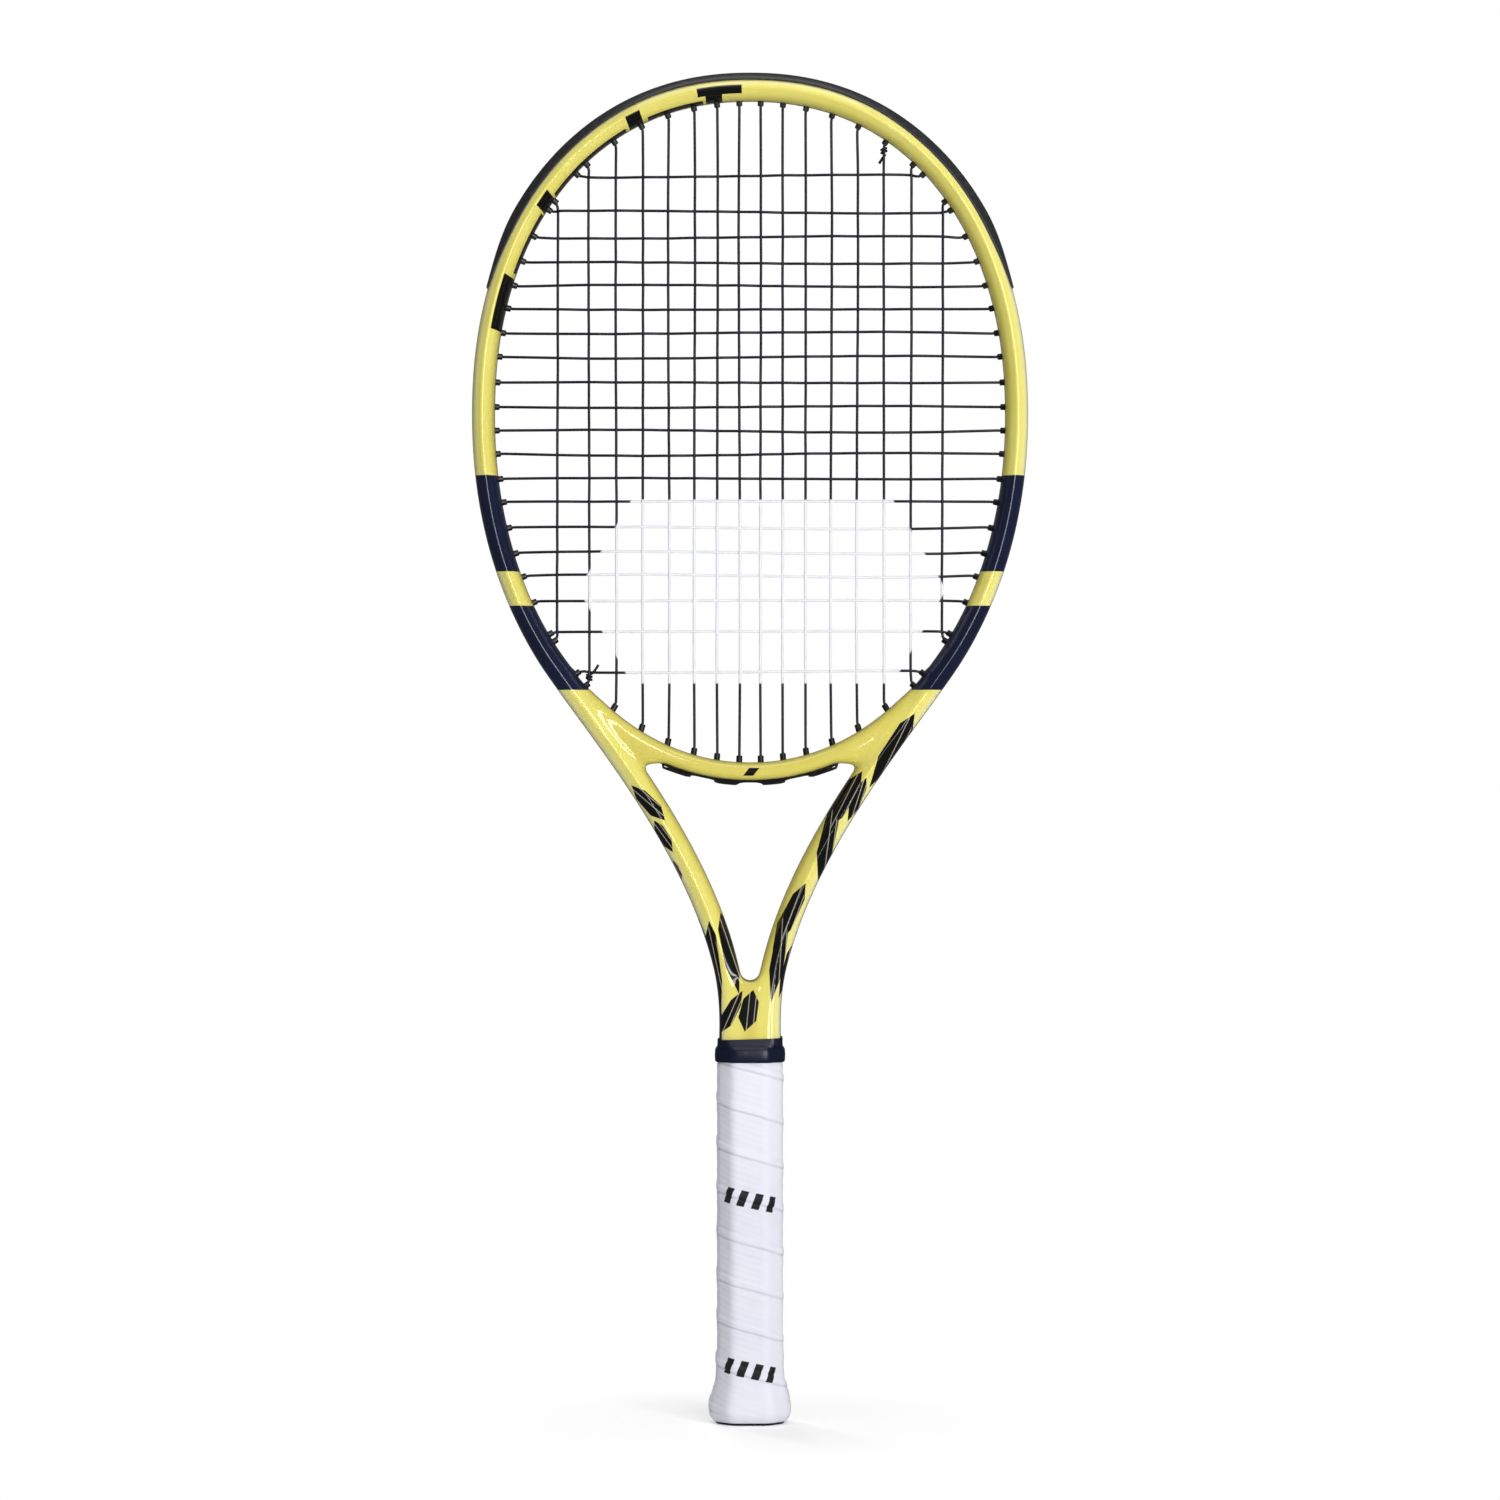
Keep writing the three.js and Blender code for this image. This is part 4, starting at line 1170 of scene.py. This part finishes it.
# A slanted dash in the middle of the bridge.
BRIDGE_DASH = [(-3.4, 316.8), (1.6, 316.8), (4.6, 320.6), (-0.4, 320.6)]


def sliver_corners(tip, end, width, place):
    """A six cornered pointed outline."""
    tip, end = np.array(tip), np.array(end)
    along = end - tip
    across = square_to(along) * width / 2
    near = tip + along * place * 0.55
    far = tip + along * (place + (1 - place) * 0.45)
    return [tuple(point) for point in (tip, near + across * 0.86, far + across, end, far - across,
                                       near - across * 0.86)]


def pattern_x(shader):
    """x seen from either face: the back of the racket carries the front's pattern."""
    facing = shader.maths("SIGN", shader.y)
    return shader.times(shader.x, shader.times(facing, -1.0))


def band_mask(s):
    """Two dark bands across each side of the head."""
    heights = [s.least(s.minus(s.z, low), s.minus(high, s.z)) for high, low in BANDS]
    on_head = s.minus(s.size(s.x), 79.0)
    return s.edge(s.least(s.any_of(heights), on_head))


def patch_mask(s, side, across):
    """The dark patches and the dark inner edge of the hoop, by angle from the tip."""
    angle = s.times(s.maths("ARCTAN2", side, s.minus(s.z, HEAD_Z)), 180 / math.pi)
    half_width = 5.5
    marks = []
    for middle, reach, low, high in PATCHES:
        x, z = hoop_point(math.radians(middle))
        radius = math.hypot(x, z - HEAD_Z)
        along = s.times(s.plus(angle, middle), math.pi / 180 * radius)
        ends = s.minus(reach, s.size(along))
        lower = s.times(s.minus(across, low), half_width)
        upper = s.times(s.minus(high, across), half_width)
        marks.append(s.least(ends, lower, upper))
    for start, end in INNER_EDGE:
        ends = s.times(s.least(s.minus(-start, angle), s.plus(angle, end)), 2.4)
        inner = s.times(s.minus(-0.80, across), half_width)
        marks.append(s.least(ends, inner))
    return s.edge(s.any_of(marks))


def sliver_masks(s, side):
    """The slivers on the faces of the throat, and the fine pale lines inside them."""
    facing = s.nodes.new("ShaderNodeSeparateXYZ")
    s.links.new(s.normal, facing.inputs[0])
    on_face = s.ramp(s.size(facing.outputs[1]), 0.12, 0.2)
    shapes = [s.inside(sliver_corners(*sliver), side) for sliver in SLIVERS]
    hairs = []
    for tip, end, width, _ in SLIVERS:
        run = unit(np.array(end) - np.array(tip))
        normal = square_to(run)
        lean = run + 0.10 * normal
        for shift in (-0.16, 0.2):
            start = np.array(tip) + normal * width * shift
            near = s.minus(0.17, s.line(start, lean, side))
            within = s.inside(sliver_corners(tip, end, width * 0.98, 0.45), side)
            hairs.append(s.least(near, within))
    return [s.times(s.edge(s.any_of(distances)), on_face) for distances in (shapes, hairs)]


def flank_mask(s, side, across):
    """The outer sides of the throat, reaching further round on the left of the shaft."""
    top = BANDS[1][1]
    below = s.ramp(s.z, top, top - 0.3)
    left_shaft = s.times(s.ramp(side, -8, -12), s.ramp(s.z, 250, 232))
    limit = s.minus(0.955, s.times(left_shaft, 0.13))
    outer = s.ramp(s.minus(across, limit), -0.012, 0.012)
    in_groove = s.times(s.ramp(across, 0.3, 0.35), s.ramp(s.size(s.y), 4.2, 3.8))
    return s.times(s.any_of([outer, in_groove]), below)


def pearl_yellow_painted_light(s, across, cloud):
    """Pearl yellow with fine pearl specks, pale on the outer slope of the tube from a painted highlight
    and deeper on the inner one from painted shade.
    """
    yellow = s.blend(s.ramp(cloud, 0.35, 0.65), colour(235, 224, 112), colour(239, 229, 122))
    specks = s.times(s.ramp(s.noise(1400, 1.0), 0.56, 0.72), 0.35)
    yellow = s.blend(specks, yellow, colour(246, 236, 150))
    # painted highlight: the outer slope of the tube is blended towards a whitish yellow
    yellow = s.blend(s.times(s.ramp(across, 0.3, 0.8), 0.6), yellow, colour(250, 247, 190))
    # painted shade: the inner slope of the tube is blended towards a deeper yellow
    return s.blend(s.times(s.ramp(across, -0.35, -0.95), 0.35), yellow, colour(196, 176, 62))


def frame_lacquer():
    s = Shader("frame_lacquer")
    across = s.attribute("across")
    side = pattern_x(s)
    cloud = s.noise(34, 2.0)
    navy = s.blend(s.ramp(cloud, 0.3, 0.7), colour(18, 23, 50), colour(24, 30, 60))
    sliver, hair = sliver_masks(s, side)
    dash = s.edge(s.inside(BRIDGE_DASH, side))
    dark = s.any_of([patch_mask(s, side, across), sliver, flank_mask(s, side, across), dash])
    base = s.blend(band_mask(s), pearl_yellow_painted_light(s, across, cloud), navy)
    base = s.blend(dark, base, colour(13, 13, 11))
    base = s.blend(s.times(hair, 0.75), base, colour(206, 198, 180))
    wear = s.times(s.ramp(s.noise(90, 5.0), 0.60, 0.74), 0.12)
    orange_peel = s.bump(s.noise(260, 1.0), 0.04, 0.2)
    return s.set(base=base, rough=s.plus(0.30, wear), coat=1.0, coat_rough=0.04, specular=0.08,
                 normal=orange_peel, coat_normal=orange_peel)


def nylon(name, tone, scuffed):
    s = Shader(name)
    scuff = s.ramp(s.noise(420, 6.0), 0.55, 0.75)
    grain = s.noise(2600, 2.0)
    base = s.blend(s.times(scuff, 0.35 * scuffed), colour(*tone),
                   colour(*[min(255, value + 55) for value in tone]))
    rough = s.plus(0.36, s.times(scuff, 0.22))
    normal = s.bump(grain, 0.12, 0.06)
    return s.set(base=base, rough=rough, specular=0.45, normal=normal)


def string_coat():
    s = Shader("string_navy")
    hexagon = [(-84, 408), (-58, 452), (70, 452), (96, 408), (70, 362), (-58, 362)]
    painted = s.ramp(s.inside(hexagon, s.x), -0.4, 0.4)
    worn = s.ramp(s.noise(600, 4.0), 0.62, 0.74)
    twist = s.noise(900, 2.0)
    navy = s.blend(s.ramp(twist, 0.35, 0.65), colour(12, 14, 30), colour(22, 24, 42))
    white = s.blend(s.times(worn, 0.25), colour(240, 241, 246), colour(196, 198, 208))
    base = s.blend(painted, navy, white)
    rough = s.blend(painted, (0.34,) * 3 + (1,), (0.6,) * 3 + (1,))
    return s.set(base=base, rough=rough, specular=0.35, normal=s.bump(twist, 0.1, 0.05))


def white_wrap():
    s = Shader("white_grip")
    around = s.attribute("around")
    level = s.attribute("level")
    grain = s.cells(1500)
    soft = s.noise(55, 4.0)
    tint = s.noise(14, 2.0)
    base = s.blend(s.ramp(tint, 0.35, 0.65), colour(232, 232, 244), colour(240, 240, 250))
    # painted shade: the grip's colour darkens to a grey in the crease under the edge of each turn
    base = s.blend(s.times(s.attribute("crease"), 0.3), base, colour(164, 164, 184))
    smudge = s.times(s.ramp(soft, 0.55, 0.8), 0.16)
    base = s.blend(smudge, base, colour(206, 206, 216))
    # rows of plain slanted bars printed on the wrap
    rows = []
    for height, middle in ((110.0, 8.6), (27.0, 8.6)):
        z = s.minus(level, height)
        slanted = s.minus(around, s.times(z, 0.35))
        cell = s.maths("PINGPONG", slanted, 3.6)
        width = s.minus(cell, 1.7)
        tall = s.minus(4.0, s.size(z))
        reach = s.minus(14.4, s.size(slanted))
        rows.append(s.least(width, tall, reach))
    printed = s.edge(s.any_of(rows))
    base = s.blend(printed, base, colour(18, 18, 26))
    normal = s.bump(grain, 0.10, 0.08)
    normal = s.bump(soft, 0.18, 0.25, normal)
    return s.set(base=base, rough=0.62, specular=0.35, sheen=0.15, sheen_rough=0.5, normal=normal)


def rubber():
    s = Shader("collar_rubber")
    dust = s.ramp(s.noise(260, 5.0), 0.58, 0.78)
    base = s.blend(s.times(dust, 0.2), colour(17, 24, 46), colour(64, 72, 92))
    rough = s.plus(0.3, s.times(dust, 0.2))
    return s.set(base=base, rough=rough, specular=0.35, normal=s.bump(s.noise(1200, 2.0), 0.1, 0.05))


def pallet_foam():
    s = Shader("handle_foam")
    base = s.blend(s.noise(120, 3.0), colour(203, 183, 138), colour(222, 206, 166))
    return s.set(base=base, rough=0.85, normal=s.bump(s.cells(900), 0.5, 0.3))


def staple_steel():
    s = Shader("staple_steel")
    drawn = s.noise(1500, 3.0)
    base = s.blend(drawn, colour(168, 170, 176), colour(205, 207, 212))
    return s.set(base=base, metal=1.0, rough=s.plus(0.25, s.times(drawn, 0.2)))


def dark_tape():
    s = Shader("finishing_tape")
    base = s.blend(s.noise(200, 4.0), colour(34, 36, 44), colour(50, 52, 60))
    return s.set(base=base, rough=0.45, normal=s.bump(s.noise(500, 3.0), 0.2, 0.1))


# ---- build ----------------------------------------------------------------------------------
def build_racket():
    black = nylon("black_nylon", (18, 18, 22), 0.6)
    guard = nylon("bumper_nylon", (44, 44, 46), 1.0)
    points, faces = frame_skin()
    skin = make_piece("frame_skin", points, faces, frame_lacquer(), "frame_lacquer",
                      stands_for=("frame_tube", "throat_bridge"))
    point_value(skin, "across", across_tube(points))
    make_piece("bumper_guard_moulded", *bumper_guard(), guard, "black_nylon",
               stands_for=("bumper_guard",), sharp=40)
    for side, sign in (("right", 1), ("left", -1)):
        make_piece(f"side_strip_{side}_moulded", *flank_strip(side, sign), black, "black_nylon",
                   stands_for=(f"side_grommet_strip_{side}",), sharp=40)
    make_piece("bridge_strip_moulded", *bridge_strip(), black, "black_nylon",
               stands_for=("bridge_grommet_strip",), sharp=40)
    make_piece("string_woven", *string_tube(string_path()), string_coat(), "string_navy",
               stands_for=("string",))
    points, faces, values = grip_sleeve()
    grip = make_piece("grip_wrapped", points, faces, white_wrap(), "white_grip", stands_for=("grip_tape",))
    for name, numbers in values.items():
        point_value(grip, name, numbers)
    make_piece("butt_cap_moulded", *butt_cap(), nylon("cap_plastic", (26, 27, 31), 0.4), "cap_plastic",
               stands_for=("butt_cap",), sharp=35)
    make_piece("finishing_tape_wound", *finishing_tape(), dark_tape(), "finishing_tape",
               stands_for=("finishing_tape",), sharp=40)
    make_piece("grip_collar_rubber", *grip_collar(), rubber(), "collar_rubber", body="collar",
               stands_for=("grip_collar",), sharp=50)


def dress_hidden_nodes():
    """The pallet and the staples keep their CAD meshes."""
    foam = pallet_foam()
    steel = staple_steel()
    for name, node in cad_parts.items():
        if name == "handle_pallet" or "staple" in name:
            node.data.materials.clear()
            node.data.materials.append(foam if name == "handle_pallet" else steel)


# ---- studio ---------------------------------------------------------------------------------
def area_light(name, place, target, size, power, mirrored_by_gloss=True):
    data = bpy.data.lights.new(name, "AREA")
    data.shape = "RECTANGLE"
    data.size, data.size_y = size
    data.energy = power
    light = in_scene(name, data)
    light.location = place
    light.rotation_euler = (Vector(target) - Vector(place)).to_track_quat("-Z", "Y").to_euler()
    light.visible_camera = False
    light.visible_glossy = mirrored_by_gloss


def floor():
    """A pale floor that fades into the background away from the racket."""
    s = Shader("floor")
    away = s.maths("SQRT", s.plus(s.times(s.x, s.x), s.times(s.y, s.y)))
    path = s.nodes.new("ShaderNodeLightPath")
    seen = path.outputs["Is Camera Ray"]
    s.set(base=colour(250, 250, 250), rough=0.9, specular=0.1, glow=(1, 1, 1, 1),
          glow_strength=s.times(seen, 0.3))
    glow = s.nodes.new("ShaderNodeEmission")
    glow.inputs["Color"].default_value = (1, 1, 1, 1)
    blend = s.nodes.new("ShaderNodeMixShader")
    s.links.new(s.times(seen, s.ramp(away, 14, 130)), blend.inputs[0])
    s.links.new(s.surface.outputs[0], blend.inputs[1])
    s.links.new(glow.outputs[0], blend.inputs[2])
    s.links.new(blend.outputs[0], s.nodes["Material Output"].inputs["Surface"])
    mesh = bpy.data.meshes.new("floor")
    radius = 3.0
    rim = [(radius * math.cos(k / 48 * 2 * math.pi), radius * math.sin(k / 48 * 2 * math.pi), 0)
           for k in range(48)]
    mesh.from_pydata(rim, [], [list(range(48))])
    mesh.materials.append(s.material)
    piece = in_scene("floor", mesh)
    piece.visible_glossy = False                # the lacquer would mirror it as a grey haze


def studio():
    world = bpy.data.worlds.new("studio")
    bpy.context.scene.world = world
    world.use_nodes = True
    nodes = world.node_tree.nodes
    links = world.node_tree.links
    seen = nodes.new("ShaderNodeBackground")
    seen.inputs["Color"].default_value = (1, 1, 1, 1)
    lighting = nodes["Background"]
    lighting.inputs["Color"].default_value = (0.95, 0.97, 1.0, 1)
    lighting.inputs["Strength"].default_value = 0.1
    path = nodes.new("ShaderNodeLightPath")
    blend = nodes.new("ShaderNodeMixShader")
    links.new(path.outputs["Is Camera Ray"], blend.inputs[0])
    links.new(lighting.outputs[0], blend.inputs[1])
    links.new(seen.outputs[0], blend.inputs[2])
    links.new(blend.outputs[0], nodes["World Output"].inputs["Surface"])
    middle = (0, 0, 0.33)
    area_light("key", (1.0, -1.73, 0.7), middle, (0.35, 1.5), 19)
    area_light("front", (0.42, -1.97, 0.7), middle, (0.3, 1.6), 13.5)
    area_light("top", (0, -0.3, 1.9), middle, (1.2, 1.0), 8)
    area_light("back_key", (-1.0, 1.73, 0.7), middle, (0.35, 1.5), 18, mirrored_by_gloss=False)
    area_light("back", (-0.42, 1.97, 0.7), middle, (0.3, 1.6), 13, mirrored_by_gloss=False)


def camera():
    """Level with the middle of the racket, in front of its face."""
    low, high = CAD_BOX
    aim = Vector((0, 0, (low[2] + high[2]) / 2 - 0.001))
    distance = 2.5
    height_in_view = 0.735
    data = bpy.data.cameras.new("camera")
    data.sensor_width = 36
    data.lens = 36 * distance / height_in_view
    data.clip_end = 50
    eye = in_scene("camera", data)
    eye.location = aim + Vector((0, -distance, 0))
    eye.rotation_euler = (math.pi / 2, 0, 0)
    bpy.context.scene.camera = eye
    bpy.context.scene.view_settings.view_transform = "Standard"


build_racket()
dress_hidden_nodes()
floor()
studio()
camera()
